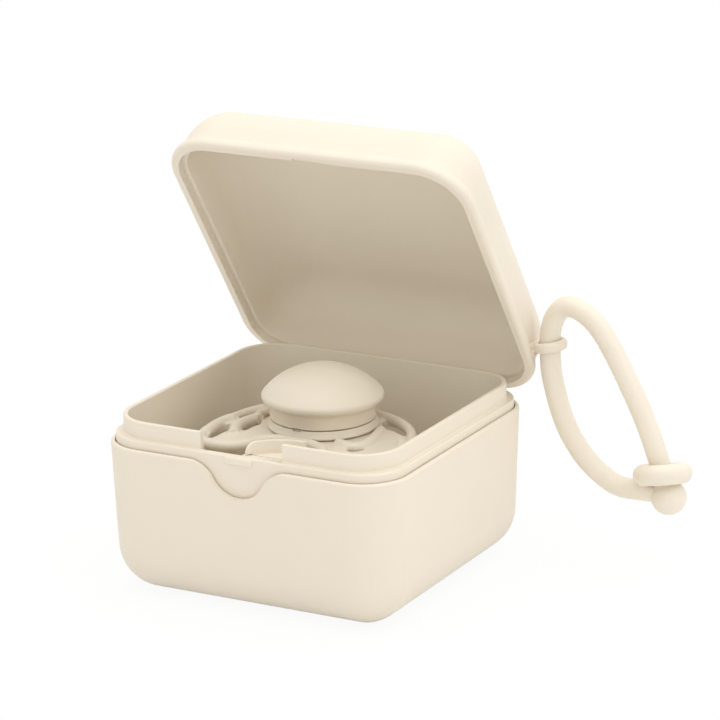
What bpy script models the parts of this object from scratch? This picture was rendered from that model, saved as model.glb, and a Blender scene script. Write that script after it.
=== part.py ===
"""Pacifier box: a rounded box with a hinged lid, a lift-out tray, a pacifier and a soft strap.

Metres, +Z up. The origin is the centre of the box's underside, the front is -Y, the hinge is at +Y.
The lid is modelled closed and hangs from an empty on the hinge axis, which then tips it open.
"""
import math

import bmesh
import bpy
from mathutils import Matrix, Vector

# Fits
GAP = 0.0003                      # between pieces that touch
OVERRUN = 0.0020                  # how far a cutter runs past what it cuts
BITE = 0.0005                     # how deep a joined shape sinks into its carrier
MERGE_DISTANCE = 0.000001         # points nearer than this are one point

# Box outline, seen from above, at the top of the outer wall
BOX_WIDTH = 0.0850
BOX_DEPTH = 0.0835
CORNER_RADIUS = 0.0126
SMALLEST_CORNER = 0.0012
CORNER_STEPS = 8
ARC_STEPS = 5

# Outer shell
SHELL_HEIGHT = 0.0402
SHELL_DRAFT = 0.0016
SHELL_WALL = 0.0011
SHELL_EDGE_RADIUS = 0.0118
SHELL_TOP_ROUNDING = 0.0008

# Finger recess in the shell's front wall
RECESS_RADIUS = 0.00825
RECESS_DEPTH = 0.0087
RECESS_SHOULDER = 0.0084
RECESS_STEPS = 16
SHOULDER_STEPS = 8

# Inner liner
BAND_INSET = SHELL_WALL + GAP
SKIRT_WALL = 0.0012
SKIRT_BELOW_RECESS = 0.0020
LEDGE_RISE = 0.0021
RIM_OUTER_INSET = 0.0028
RIM_TAPER = 0.0004
RIM_WALL = 0.0013
RIM_HEIGHT = 0.0046
RIM_ROUNDING = 0.0003
RIM_GAP_WIDTH = 0.0236
RIM_EXTRA_ROUNDNESS = 0.0016
GAP_SLOT_DROP = 0.0012
GAP_SLOT_BEHIND_RIM_FACE = 0.0003
LINER_WALL = 0.0016
LINER_DRAFT = 0.0029
LINER_EDGE_RADIUS = 0.0080
FLANGE_THICKNESS = 0.0015

# Snap nib on the band
NIB_WIDTH = 0.0080
NIB_HEIGHT = 0.0023
NIB_PROUD = 0.0005
NIB_BELOW_LEDGE = 0.0002

# Posts in the liner that carry the tray
POST_RADIUS = 0.0030
POST_HEIGHT = 0.0061
POST_SPACING_X = 0.0480
POST_SPACING_Y = 0.0480
POST_STEPS = 16

# Hinge
KNUCKLE_RADIUS = 0.0014
HINGE_BEHIND_WALL = 0.0017
HINGE_BELOW_TOP = 0.0011
LID_KNUCKLE_WIDTH = 0.0234
BASE_KNUCKLE_WIDTH = 0.0100
ARM_THICKNESS = 0.0014
PIN_RADIUS = 0.0006
PIN_CLEARANCE = 0.00015
PIN_RECESSED = 0.0003
KNUCKLE_STEPS = 16

# Lid
LID_HEIGHT = 0.0211
LID_DRAFT = 0.0011
LID_TOP_RADIUS = 0.0137
LID_TOP_THICKNESS = 0.0018
LID_LIP_DEPTH = 0.0021
LID_CREST_ROUNDING = 0.0011
LID_INNER_DRAFT = 0.0009
LID_INNER_RADIUS = 0.0115
LID_OPEN_DEG = 55.9
LID_BODY_PROUD = 0.0005
BEAD_PROUD = 0.00135
BEAD_FLAT = 0.0005
BEAD_BLEND = 0.0020
BEAD_STEPS = 5

# Eyelet on the lid's right side, and the strap through it; heights and places with the lid open
STRAP_DIAMETER = 0.0055
STRAP_SPACING = 0.0050
STRAP_CLEARANCE = 0.00015
EYELET_REACH = 0.0054
EYELET_AHEAD_OF_HINGE = 0.00385
EYELET_ABOVE_HINGE = 0.0169
EYELET_WALL = 0.0013
EYELET_HEIGHT = 0.0032
EYELET_NECK_WIDTH = 0.0052
EYELET_STEPS = 24

# Strap route in its upright plane, X and Z measured from the eyelet's centre, from the ball's end
# to the collar's end
STRAP_ROUTE = [
    (0.03252, -0.03213),
    (0.03118, -0.02763),
    (0.02764, -0.01807),
    (0.02303, -0.00866),
    (0.01720, 0.00196),
    (0.01221, 0.00832),
    (0.00567, 0.01150),
    (0.00162, 0.00863),
    (-0.00003, 0.00333),
    (0.00000, 0.00000),
    (0.00002, -0.00462),
    (0.00081, -0.00999),
    (0.00410, -0.02086),
    (0.00968, -0.02923),
    (0.01499, -0.03362),
    (0.01957, -0.03595),
    (0.02349, -0.03615),
]

# Collar and ball
BALL_DIAMETER = 0.0093
COLLAR_DIAMETER = 0.0154
COLLAR_HEIGHT = 0.0058
COLLAR_ROUNDING = 0.0022
COLLAR_STUB_LENGTH = 0.0050
COLLAR_STEPS = 28
COLLAR_ARC_STEPS = 4

# Lift tray
TRAY_PLATE = 0.0016
TRAY_SIDE_CLEARANCE = 0.0006
CUP_HEIGHT = 0.0264
CUP_BORE_RADIUS = 0.0135
CUP_WALL = 0.0015
CUP_STEPS = 32
VENT_RADIUS = 0.0019
VENT_RING_RADIUS = 0.0230
VENT_COUNT = 12
VENT_STEPS = 10
STRIP_LEFT = 0.0060
STRIP_RIGHT = 0.0190
STRIP_THICKNESS = 0.0012
STRIP_SETBACK = 0.0026
SHELF_THICKNESS = 0.0012

# Thin curved wall on the tray's shelf; its arc's centre lies in front of the rim
TAB_ARC_X = 0.0130
TAB_ARC_RADIUS = 0.0135
TAB_WALL = 0.0010
TAB_HEIGHT = 0.0032
TAB_BACK_END_DEG = 86.0
TAB_FRONT_CLEARANCE = 0.0008
TAB_STEPS = 12

# Pacifier, from the shield up and down; it lies a little behind the middle of the box
PACIFIER_BEHIND_CENTRE = 0.0031
SHIELD_THICKNESS = 0.0020
SHIELD_BORDER_WIDTH = 0.0026
SHIELD_BORDER_RISE = 0.0012
SHIELD_EDGE_ROUNDING = 0.0006
SHIELD_HALF_WIDTH = 0.0286
SHIELD_HALF_DEPTH = 0.0220
SHIELD_FRONT_SHIFT = 0.0056
SHIELD_WING_DROP = 0.0015
SHIELD_FLAT_RADIUS = 0.0160
SHIELD_BEND_CUTS = 4
SHIELD_HOLE_RADIUS = 0.0080
AIR_HOLE_FROM_TIP = 0.0100
AIR_HOLE_RADIUS = SHIELD_HALF_WIDTH - AIR_HOLE_FROM_TIP
AIR_HOLE_WIDTH = 0.0034
AIR_HOLE_FROM_DEG = -42.0
AIR_HOLE_TO_DEG = 16.0
LOOP_WALL = 0.0017
LOOP_RISE = 0.0009
SLOT_WIDTH = 0.0012
SLOT_OUTSIDE_LOOP = 0.0004
SLOT_HALF_SWEEP_DEG = 13.0
SLOT_MIDDLES_DEG = [-34.0, -3.0]
BASE_RING_TOP_RADIUS = 0.0140
BASE_RING_FOOT_RADIUS = 0.0146
BASE_RING_HEIGHT = 0.0022
SPIGOT_RADIUS = 0.0090
SPIGOT_HEIGHT = 0.0060
KNOB_NECK_RADIUS = 0.0139
KNOB_NECK_HEIGHT = 0.0040
KNOB_BRIM_RADIUS = 0.0160
KNOB_BRIM_THICKNESS = 0.0032
KNOB_DOME_HEIGHT = 0.00715
DOME_FROM_DEG = 41.0
DOME_STEPS = 8
BRIM_STEPS = 7
NIPPLE_FLANGE_RADIUS = 0.0105
NIPPLE_FLANGE_HEIGHT = 0.0012
NIPPLE_NECK_RADIUS = 0.0062
NIPPLE_BULB_RADIUS = 0.0104
NIPPLE_LENGTH = 0.0250
NIPPLE_STEPS = 28
PACIFIER_STEPS = 36

# Left half of the shield's outline, from the nose notch round to the back, as shares of its half
# width and of its half depth
SHIELD_OUTLINE_SHARES = [
    (0.00, -0.48),
    (-0.16, -0.50),
    (-0.27, -0.61),
    (-0.33, -0.79),
    (-0.44, -0.94),
    (-0.58, -1.00),
    (-0.73, -0.95),
    (-0.89, -0.75),
    (-0.98, -0.47),
    (-1.00, -0.15),
    (-0.98, 0.12),
    (-0.91, 0.39),
    (-0.80, 0.60),
    (-0.66, 0.75),
    (-0.45, 0.90),
    (-0.21, 0.98),
    (0.00, 1.00),
]

# Where the nipple's neck begins and ends, as shares of its length
NIPPLE_NECK_SHARES = [0.16, 0.42]

# Nipple profile below its neck, as shares of the bulb's radius and of the nipple's length
NIPPLE_BULB_SHARES = [
    (0.66, 0.52),
    (0.84, 0.61),
    (0.97, 0.71),
    (1.00, 0.79),
    (0.94, 0.88),
    (0.74, 0.955),
    (0.42, 0.993),
]

# Heights that follow
HALF_X = BOX_WIDTH / 2
HALF_Y = BOX_DEPTH / 2
LEDGE_Z = SHELL_HEIGHT + LEDGE_RISE
RIM_TOP_Z = LEDGE_Z + RIM_HEIGHT
RIM_INNER_INSET = RIM_OUTER_INSET + RIM_WALL
LINER_BOTTOM_Z = SHELL_WALL + GAP
LINER_FLOOR_Z = LINER_BOTTOM_Z + LINER_WALL
RECESS_LOWEST_Z = SHELL_HEIGHT - RECESS_DEPTH
CREST_Z = SHELL_HEIGHT + GAP
LID_LIP_INSET = BAND_INSET - GAP
LID_TOP_Z = CREST_Z + LID_HEIGHT
LID_STEP_Z = CREST_Z + LID_LIP_DEPTH
LID_MOUTH_INSET = RIM_OUTER_INSET - GAP
HINGE_Y = HALF_Y + HINGE_BEHIND_WALL
HINGE_Z = SHELL_HEIGHT - HINGE_BELOW_TOP
STRAP_PLANE_Y = HINGE_Y - EYELET_AHEAD_OF_HINGE
EYELET_X = HALF_X + EYELET_REACH
EYELET_Z = HINGE_Z + EYELET_ABOVE_HINGE
STRAP_RADIUS = STRAP_DIAMETER / 2
EYELET_BORE_RADIUS = STRAP_RADIUS + STRAP_CLEARANCE
EYELET_RADIUS = EYELET_BORE_RADIUS + EYELET_WALL
COLLAR_BORE_RADIUS = STRAP_RADIUS + STRAP_CLEARANCE
TRAY_Z = LINER_FLOOR_Z + POST_HEIGHT + GAP
CUP_TOP_Z = TRAY_Z + CUP_HEIGHT
SHIELD_Z = CUP_TOP_Z + GAP
SHIELD_TOP_Z = SHIELD_Z + SHIELD_THICKNESS
BASE_RING_Z = SHIELD_TOP_Z + GAP
BASE_RING_TOP_Z = BASE_RING_Z + BASE_RING_HEIGHT
KNOB_Z = BASE_RING_TOP_Z + GAP
KNOB_BRIM_Z = KNOB_Z + KNOB_NECK_HEIGHT
CUP_RADIUS = CUP_BORE_RADIUS + CUP_WALL

IVORY = (0.86, 0.78, 0.64, 1.0)
IVORY_LIGHT = (0.90, 0.82, 0.68, 1.0)
SILICONE = (0.92, 0.84, 0.70, 1.0)
STEEL = (0.62, 0.62, 0.63, 1.0)


def clear_scene():
    for obj in list(bpy.data.objects):
        bpy.data.objects.remove(obj, do_unlink=True)


def make_material(name, colour, roughness, metallic=0.0):
    material = bpy.data.materials.new(name)
    material.use_nodes = True
    shader = material.node_tree.nodes["Principled BSDF"]
    shader.inputs["Base Color"].default_value = colour
    shader.inputs["Roughness"].default_value = roughness
    shader.inputs["Metallic"].default_value = metallic
    return material


# Building blocks

def add_object(name, data):
    obj = bpy.data.objects.new(name, data)
    bpy.context.scene.collection.objects.link(obj)
    return obj


def object_from_bmesh(name, bm):
    bmesh.ops.recalc_face_normals(bm, faces=bm.faces)
    mesh = bpy.data.meshes.new(name)
    bm.to_mesh(mesh)
    bm.free()
    return add_object(name, mesh)


def finish(obj, material):
    """Give a finished piece its material and smooth shading with crisp edges."""
    obj.data.materials.clear()
    obj.data.materials.append(material)
    if obj.type == "MESH":
        obj.data.shade_smooth()
        obj.data.set_sharp_from_angle(angle=math.radians(32.0))


def as_helper(obj):
    """Mark an object that only cuts or joins another one."""
    obj.hide_render = True
    obj.display_type = "WIRE"
    return obj


def boolean(target, helper, operation):
    as_helper(helper)
    modifier = target.modifiers.new(helper.name, "BOOLEAN")
    modifier.object = helper
    modifier.operation = operation
    modifier.solver = "EXACT"


def cut(target, cutter):
    boolean(target, cutter, "DIFFERENCE")


def join(target, addition):
    boolean(target, addition, "UNION")


def loft(name, rings):
    """Closed solid through a stack of rings with equal point counts, capped at both ends."""
    bm = bmesh.new()
    loops = [[bm.verts.new(point) for point in ring] for ring in rings]
    count = len(loops[0])
    for lower, upper in zip(loops, loops[1:]):
        for i in range(count):
            j = (i + 1) % count
            bm.faces.new((lower[i], lower[j], upper[j], upper[i]))
    bm.faces.new(list(reversed(loops[0])))
    bm.faces.new(loops[-1])
    return object_from_bmesh(name, bm)


def box_ring(inset, z, extra_roundness=0.0):
    """The box's rounded outline at height z, drawn in by inset all round."""
    radius = max(CORNER_RADIUS - inset + extra_roundness, SMALLEST_CORNER)
    reach_x = HALF_X - inset - radius
    reach_y = HALF_Y - inset - radius
    points = []
    for quarter, (side_x, side_y) in enumerate(((1, 1), (-1, 1), (-1, -1), (1, -1))):
        for step in range(CORNER_STEPS + 1):
            angle = math.radians(90.0) * (quarter + step / CORNER_STEPS)
            x = side_x * reach_x + radius * math.cos(angle)
            y = side_y * reach_y + radius * math.sin(angle)
            points.append(Vector((x, y, z)))
    return points


def block(name, low, high):
    """Box between two corners."""
    bm = bmesh.new()
    bmesh.ops.create_cube(bm, size=1.0)
    size = [b - a for a, b in zip(low, high)]
    centre = [(a + b) / 2 for a, b in zip(low, high)]
    bmesh.ops.scale(bm, vec=size, verts=bm.verts)
    bmesh.ops.translate(bm, vec=centre, verts=bm.verts)
    return object_from_bmesh(name, bm)


def cylinder(name, radius, length, steps, centre, axis="Z"):
    """Round bar about its centre, along X, Y or Z."""
    turns = {"X": Matrix.Rotation(math.radians(90.0), 4, "Y"),
             "Y": Matrix.Rotation(math.radians(90.0), 4, "X"),
             "Z": Matrix.Identity(4)}
    bm = bmesh.new()
    bmesh.ops.create_cone(bm, cap_ends=True, segments=steps, radius1=radius, radius2=radius,
                          depth=length, matrix=Matrix.Translation(centre) @ turns[axis])
    return object_from_bmesh(name, bm)


def turned(name, profile, steps, centre_y=0.0):
    """Solid of revolution about an upright axis from (radius, height) points."""
    bm = bmesh.new()
    verts = [bm.verts.new((radius, 0.0, z)) for radius, z in profile]
    edges = [bm.edges.new(pair) for pair in zip(verts, verts[1:])]
    if profile[0][0] > 0.0:
        edges.append(bm.edges.new((verts[-1], verts[0])))
    bmesh.ops.spin(bm, geom=verts + edges, cent=(0, 0, 0), axis=(0, 0, 1),
                   angle=math.radians(360.0), steps=steps, use_merge=True)
    bmesh.ops.remove_doubles(bm, verts=bm.verts, dist=MERGE_DISTANCE)
    bmesh.ops.translate(bm, vec=(0, centre_y, 0), verts=bm.verts)
    return object_from_bmesh(name, bm)


def prism(name, outline, z_low, z_high):
    """Upright solid on a plan outline."""
    bottom = [Vector((x, y, z_low)) for x, y in outline]
    top = [Vector((x, y, z_high)) for x, y in outline]
    return loft(name, [bottom, top])


def smooth_through(points, closed, per_span):
    """Catmull-Rom curve through points, with per_span steps between neighbours."""
    count = len(points)
    spans = count if closed else count - 1
    result = []
    for i in range(spans):
        if closed:
            p0, p1, p2, p3 = (points[(i + k) % count] for k in (-1, 0, 1, 2))
        else:
            p0, p1, p2, p3 = (points[min(max(i + k, 0), count - 1)] for k in (-1, 0, 1, 2))
        for step in range(per_span):
            t = step / per_span
            result.append(0.5 * (2 * p1 + (p2 - p0) * t
                                 + (2 * p0 - 5 * p1 + 4 * p2 - p3) * t ** 2
                                 + (3 * p1 - p0 - 3 * p2 + p3) * t ** 3))
    if not closed:
        result.append(points[-1].copy())
    return result


def evenly_spaced(points, spacing):
    """Walk along a fine polyline and keep both ends and equal steps between them."""
    lengths = [(b - a).length for a, b in zip(points, points[1:])]
    count = max(2, round(sum(lengths) / spacing))
    step = sum(lengths) / count
    result = [points[0]]
    walked = 0.0
    for start, end, length in zip(points, points[1:], lengths):
        while len(result) < count and walked + length >= step * len(result):
            result.append(start.lerp(end, (step * len(result) - walked) / length))
        walked += length
    result.append(points[-1])
    return result


def arc_points(centre_x, centre_y, radius, from_deg, to_deg, steps):
    points = []
    for step in range(steps + 1):
        angle = math.radians(from_deg + (to_deg - from_deg) * step / steps)
        points.append((centre_x + radius * math.cos(angle), centre_y + radius * math.sin(angle)))
    return points


def bent_bar_outline(centre_x, centre_y, radius, width, from_deg, to_deg, steps, end_steps=0):
    """Plan of a bar bent along an arc, with square ends or, with end_steps, round ones."""
    outline = arc_points(centre_x, centre_y, radius + width / 2, from_deg, to_deg, steps)
    if end_steps:
        end_x = centre_x + radius * math.cos(math.radians(to_deg))
        end_y = centre_y + radius * math.sin(math.radians(to_deg))
        outline += arc_points(end_x, end_y, width / 2, to_deg, to_deg + 180.0, end_steps)[1:-1]
    outline += arc_points(centre_x, centre_y, radius - width / 2, to_deg, from_deg, steps)
    if end_steps:
        end_x = centre_x + radius * math.cos(math.radians(from_deg))
        end_y = centre_y + radius * math.sin(math.radians(from_deg))
        outline += arc_points(end_x, end_y, width / 2, from_deg - 180.0, from_deg, end_steps)[1:-1]
    return outline


def quarter_arc(radius, steps):
    """Steps round a quarter circle: how far drawn in, and how far risen, from the flat side."""
    for step in range(steps + 1):
        angle = math.radians(90.0) * step / steps
        yield radius * (1 - math.sin(angle)), radius * (1 - math.cos(angle))


# Base: outer shell, inner liner, hinge pin

def shell_inset(z):
    """How far the shell's drafted outside is drawn in at height z."""
    return SHELL_DRAFT * (1 - z / SHELL_HEIGHT)


def recess_outline():
    """Round finger recess, X and Z, with its shoulders filleted into the wall's top edge."""
    centre_z = RECESS_LOWEST_Z + RECESS_RADIUS
    fillet_z = SHELL_HEIGHT - RECESS_SHOULDER
    drop = centre_z - fillet_z
    fillet_x = math.sqrt((RECESS_RADIUS + RECESS_SHOULDER) ** 2 - drop ** 2)
    lean = math.degrees(math.atan2(drop, fillet_x))
    left = arc_points(-fillet_x, fillet_z, RECESS_SHOULDER, 90.0, lean, SHOULDER_STEPS)
    bowl = arc_points(0.0, centre_z, RECESS_RADIUS, 180.0 + lean, 360.0 - lean, RECESS_STEPS)
    right = arc_points(fillet_x, fillet_z, RECESS_SHOULDER, 180.0 - lean, 90.0, SHOULDER_STEPS)
    above = [(fillet_x, SHELL_HEIGHT + OVERRUN), (-fillet_x, SHELL_HEIGHT + OVERRUN)]
    return left + bowl[1:-1] + right + above


def make_outer_shell(material):
    rings = []
    for drawn_in, risen in quarter_arc(SHELL_EDGE_RADIUS, ARC_STEPS):
        rings.append(box_ring(shell_inset(risen) + drawn_in, risen))
    for drawn_in, fallen in reversed(list(quarter_arc(SHELL_TOP_ROUNDING, 2))):
        z = SHELL_HEIGHT - fallen
        rings.append(box_ring(shell_inset(z) + drawn_in, z))
    rings.append(box_ring(SHELL_WALL, SHELL_HEIGHT))
    inner_radius = SHELL_EDGE_RADIUS - SHELL_WALL
    for drawn_in, risen in reversed(list(quarter_arc(inner_radius, ARC_STEPS))):
        z = SHELL_WALL + risen
        rings.append(box_ring(shell_inset(z) + SHELL_WALL + drawn_in, z))
    shell = loft("outer_shell", rings)

    front = [Vector((x, -HALF_Y - OVERRUN, z)) for x, z in recess_outline()]
    back = [Vector((x, -HALF_Y + SHELL_DRAFT + OVERRUN, z)) for x, z in recess_outline()]
    cut(shell, loft("recess_cutter", [front, back]))

    for side in (-1, 1):
        near_x = side * (LID_KNUCKLE_WIDTH / 2 + GAP)
        far_x = near_x + side * BASE_KNUCKLE_WIDTH
        join(shell, cylinder(f"base_knuckle_{side}", KNUCKLE_RADIUS, BASE_KNUCKLE_WIDTH,
                             KNUCKLE_STEPS, ((near_x + far_x) / 2, HINGE_Y, HINGE_Z), "X"))
        join(shell, block(f"hinge_lug_{side}",
                          (min(near_x, far_x), HALF_Y - SHELL_WALL + BITE, HINGE_Z - KNUCKLE_RADIUS),
                          (max(near_x, far_x), HINGE_Y, HINGE_Z)))
    cut(shell, pin_bore("base_pin_bore"))
    finish(shell, material)
    return shell


def pin_bore(name):
    reach = LID_KNUCKLE_WIDTH + 2 * BASE_KNUCKLE_WIDTH + 2 * OVERRUN
    return cylinder(name, PIN_RADIUS + PIN_CLEARANCE, reach, KNUCKLE_STEPS,
                    (0.0, HINGE_Y, HINGE_Z), "X")


def make_hinge_pin(material):
    length = LID_KNUCKLE_WIDTH + 2 * (GAP + BASE_KNUCKLE_WIDTH - PIN_RECESSED)
    pin = cylinder("hinge_pin", PIN_RADIUS, length, KNUCKLE_STEPS, (0.0, HINGE_Y, HINGE_Z), "X")
    finish(pin, material)
    return pin


def liner_inner_inset(z):
    """How far the tub's drafted inside is drawn in at height z."""
    return RIM_INNER_INSET + LINER_DRAFT * (RIM_TOP_Z - z) / (RIM_TOP_Z - LINER_FLOOR_Z)


def tub_ring(inset, z):
    """The tub and its rim have rounder corners than the shell."""
    return box_ring(inset, z, RIM_EXTRA_ROUNDNESS)


def make_inner_liner(material):
    rings = []
    for drawn_in, risen in quarter_arc(LINER_EDGE_RADIUS, ARC_STEPS):
        z = LINER_BOTTOM_Z + risen
        rings.append(tub_ring(liner_inner_inset(z) - LINER_WALL + drawn_in, z))
    flange_z = LEDGE_Z - FLANGE_THICKNESS
    skirt_z = RECESS_LOWEST_Z - SKIRT_BELOW_RECESS
    rings.append(tub_ring(liner_inner_inset(flange_z) - LINER_WALL, flange_z))
    rings.append(box_ring(BAND_INSET + SKIRT_WALL, flange_z))
    rings.append(box_ring(shell_inset(skirt_z) + BAND_INSET + SKIRT_WALL, skirt_z))
    rings.append(box_ring(shell_inset(skirt_z) + BAND_INSET, skirt_z))
    rings.append(box_ring(BAND_INSET, SHELL_HEIGHT))
    rings.append(box_ring(BAND_INSET, LEDGE_Z - RIM_ROUNDING))
    rings.append(box_ring(BAND_INSET + RIM_ROUNDING, LEDGE_Z))
    rings.append(tub_ring(RIM_OUTER_INSET, LEDGE_Z))
    rings.append(tub_ring(RIM_OUTER_INSET + RIM_TAPER - RIM_ROUNDING, RIM_TOP_Z - RIM_ROUNDING))
    rings.append(tub_ring(RIM_OUTER_INSET + RIM_TAPER, RIM_TOP_Z))
    rings.append(tub_ring(RIM_INNER_INSET, RIM_TOP_Z))
    inner_radius = LINER_EDGE_RADIUS - LINER_WALL
    for drawn_in, risen in reversed(list(quarter_arc(inner_radius, ARC_STEPS))):
        z = LINER_FLOOR_Z + risen
        rings.append(tub_ring(liner_inner_inset(z) + drawn_in, z))
    liner = loft("inner_liner", rings)

    cut(liner, block("rim_gap_cutter",
                     (-RIM_GAP_WIDTH / 2, -HALF_Y + RIM_OUTER_INSET - GAP, LEDGE_Z),
                     (RIM_GAP_WIDTH / 2, -HALF_Y + RIM_INNER_INSET + OVERRUN,
                      RIM_TOP_Z + OVERRUN)))
    cut(liner, block("gap_slot_cutter",
                     (-RIM_GAP_WIDTH / 2, -HALF_Y + RIM_OUTER_INSET + GAP_SLOT_BEHIND_RIM_FACE,
                      LEDGE_Z - GAP_SLOT_DROP),
                     (0.0, -HALF_Y + RIM_INNER_INSET + OVERRUN, LEDGE_Z + OVERRUN)))
    nib_top_z = LEDGE_Z - NIB_BELOW_LEDGE
    join(liner, block("snap_nib",
                      (-NIB_WIDTH / 2, -HALF_Y + BAND_INSET - NIB_PROUD, nib_top_z - NIB_HEIGHT),
                      (NIB_WIDTH / 2, -HALF_Y + BAND_INSET + BITE, nib_top_z)))
    for side_x in (-1, 1):
        for side_y in (-1, 1):
            length = POST_HEIGHT + BITE
            place = (side_x * POST_SPACING_X / 2, side_y * POST_SPACING_Y / 2,
                     LINER_FLOOR_Z + POST_HEIGHT - length / 2)
            join(liner, cylinder(f"post_{side_x}_{side_y}", POST_RADIUS, length, POST_STEPS, place))
    finish(liner, material)
    return liner


# Lid

def lid_body_inset(z):
    """How far the lid's drafted body is drawn in at height z, seen against the shell's outline."""
    return LID_DRAFT * (z - CREST_Z) / LID_HEIGHT - LID_BODY_PROUD


def make_lid(material, hinge):
    rings = []
    for drawn_in, fallen in quarter_arc(LID_TOP_RADIUS, ARC_STEPS + 2):
        z = LID_TOP_Z - fallen
        rings.append(box_ring(lid_body_inset(z) + drawn_in, z))
    flat_top_z = CREST_Z + LID_CREST_ROUNDING + BEAD_FLAT
    for step in range(BEAD_STEPS + 1):
        turn = math.radians(180.0) * step / BEAD_STEPS
        share = (1 - math.cos(turn)) / 2
        z = flat_top_z + BEAD_BLEND * (1 - step / BEAD_STEPS)
        rings.append(box_ring(lid_body_inset(z) * (1 - share) - BEAD_PROUD * share, z))
    for drawn_in, risen in reversed(list(quarter_arc(LID_CREST_ROUNDING, ARC_STEPS))):
        rings.append(box_ring(drawn_in - BEAD_PROUD, CREST_Z + risen))
    rings.append(box_ring(LID_LIP_INSET, CREST_Z))
    rings.append(box_ring(LID_LIP_INSET, LID_STEP_Z))
    rings.append(box_ring(LID_MOUTH_INSET, LID_STEP_Z))
    ceiling_z = LID_TOP_Z - LID_TOP_THICKNESS
    for drawn_in, fallen in reversed(list(quarter_arc(LID_INNER_RADIUS, ARC_STEPS + 1))):
        z = ceiling_z - fallen
        draft = LID_INNER_DRAFT * (z - LID_STEP_Z) / (ceiling_z - LID_STEP_Z)
        rings.append(box_ring(LID_MOUTH_INSET + draft + drawn_in, z))
    lid = loft("lid_shell", rings)

    pocket_y = -HALF_Y + BAND_INSET - NIB_PROUD - GAP
    pocket = block("nib_pocket_cutter",
                   (-NIB_WIDTH / 2 - GAP, pocket_y, CREST_Z - OVERRUN),
                   (NIB_WIDTH / 2 + GAP, -HALF_Y + LID_MOUTH_INSET, LID_STEP_Z))
    knuckle = cylinder("lid_knuckle", KNUCKLE_RADIUS, LID_KNUCKLE_WIDTH, KNUCKLE_STEPS,
                       (0.0, HINGE_Y, HINGE_Z), "X")
    arm_back_y = HINGE_Y + PIN_RADIUS
    arm = block("lid_arm",
                (-LID_KNUCKLE_WIDTH / 2, arm_back_y - ARM_THICKNESS, HINGE_Z),
                (LID_KNUCKLE_WIDTH / 2, arm_back_y, LID_STEP_Z + ARM_THICKNESS))
    bore = pin_bore("lid_pin_bore")
    cut(lid, pocket)
    join(lid, knuckle)
    join(lid, arm)
    cut(lid, bore)
    for obj in (lid, pocket, knuckle, arm, bore):
        hang(obj, hinge)
    add_eyelet(lid)
    finish(lid, material)
    return lid


def add_eyelet(lid):
    """Flat ring with an upright hole in the open lid's pose, grown out of the lid's right wall."""
    centre = (EYELET_X, STRAP_PLANE_Y, EYELET_Z)
    join(lid, cylinder("eyelet_ring", EYELET_RADIUS, EYELET_HEIGHT, EYELET_STEPS, centre))
    join(lid, block("eyelet_neck",
                    (HALF_X - LID_LIP_INSET, STRAP_PLANE_Y - EYELET_NECK_WIDTH / 2,
                     EYELET_Z - EYELET_HEIGHT / 2 + STRAP_CLEARANCE),
                    (EYELET_X - EYELET_BORE_RADIUS + STRAP_CLEARANCE,
                     STRAP_PLANE_Y + EYELET_NECK_WIDTH / 2,
                     EYELET_Z + EYELET_HEIGHT / 2 - STRAP_CLEARANCE)))
    cut(lid, cylinder("eyelet_bore", EYELET_BORE_RADIUS, EYELET_HEIGHT + 2 * OVERRUN,
                      EYELET_STEPS, centre))


def make_hinge_empty():
    """Empty on the hinge axis, tipped back by the lid's opening angle."""
    hinge = add_object("lid_hinge_axis", None)
    hinge.location = (0.0, HINGE_Y, HINGE_Z)
    hinge.rotation_euler = (-math.radians(LID_OPEN_DEG), 0.0, 0.0)
    return hinge


def hang(obj, empty):
    """Parent a piece that was modelled closed, so that it turns with the empty."""
    obj.parent = empty
    obj.matrix_parent_inverse = Matrix.Translation(-Vector(empty.location))


# Lift tray

def tab_front_deg():
    """Angle on the tab's arc where it ends in front, just inside the closed lid."""
    front_y = -HALF_Y + RIM_OUTER_INSET + TAB_FRONT_CLEARANCE
    return 180.0 - math.degrees(math.asin((front_y - tab_arc_y()) / TAB_ARC_RADIUS))


def tab_arc_y():
    """The arc's top meets the strip's inner face."""
    return strip_back_y() - TAB_ARC_RADIUS


def tray_inset():
    return liner_inner_inset(TRAY_Z) + TRAY_SIDE_CLEARANCE


def strip_front_y():
    return -HALF_Y + tray_inset() + STRIP_SETBACK


def strip_back_y():
    return strip_front_y() + STRIP_THICKNESS


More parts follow.
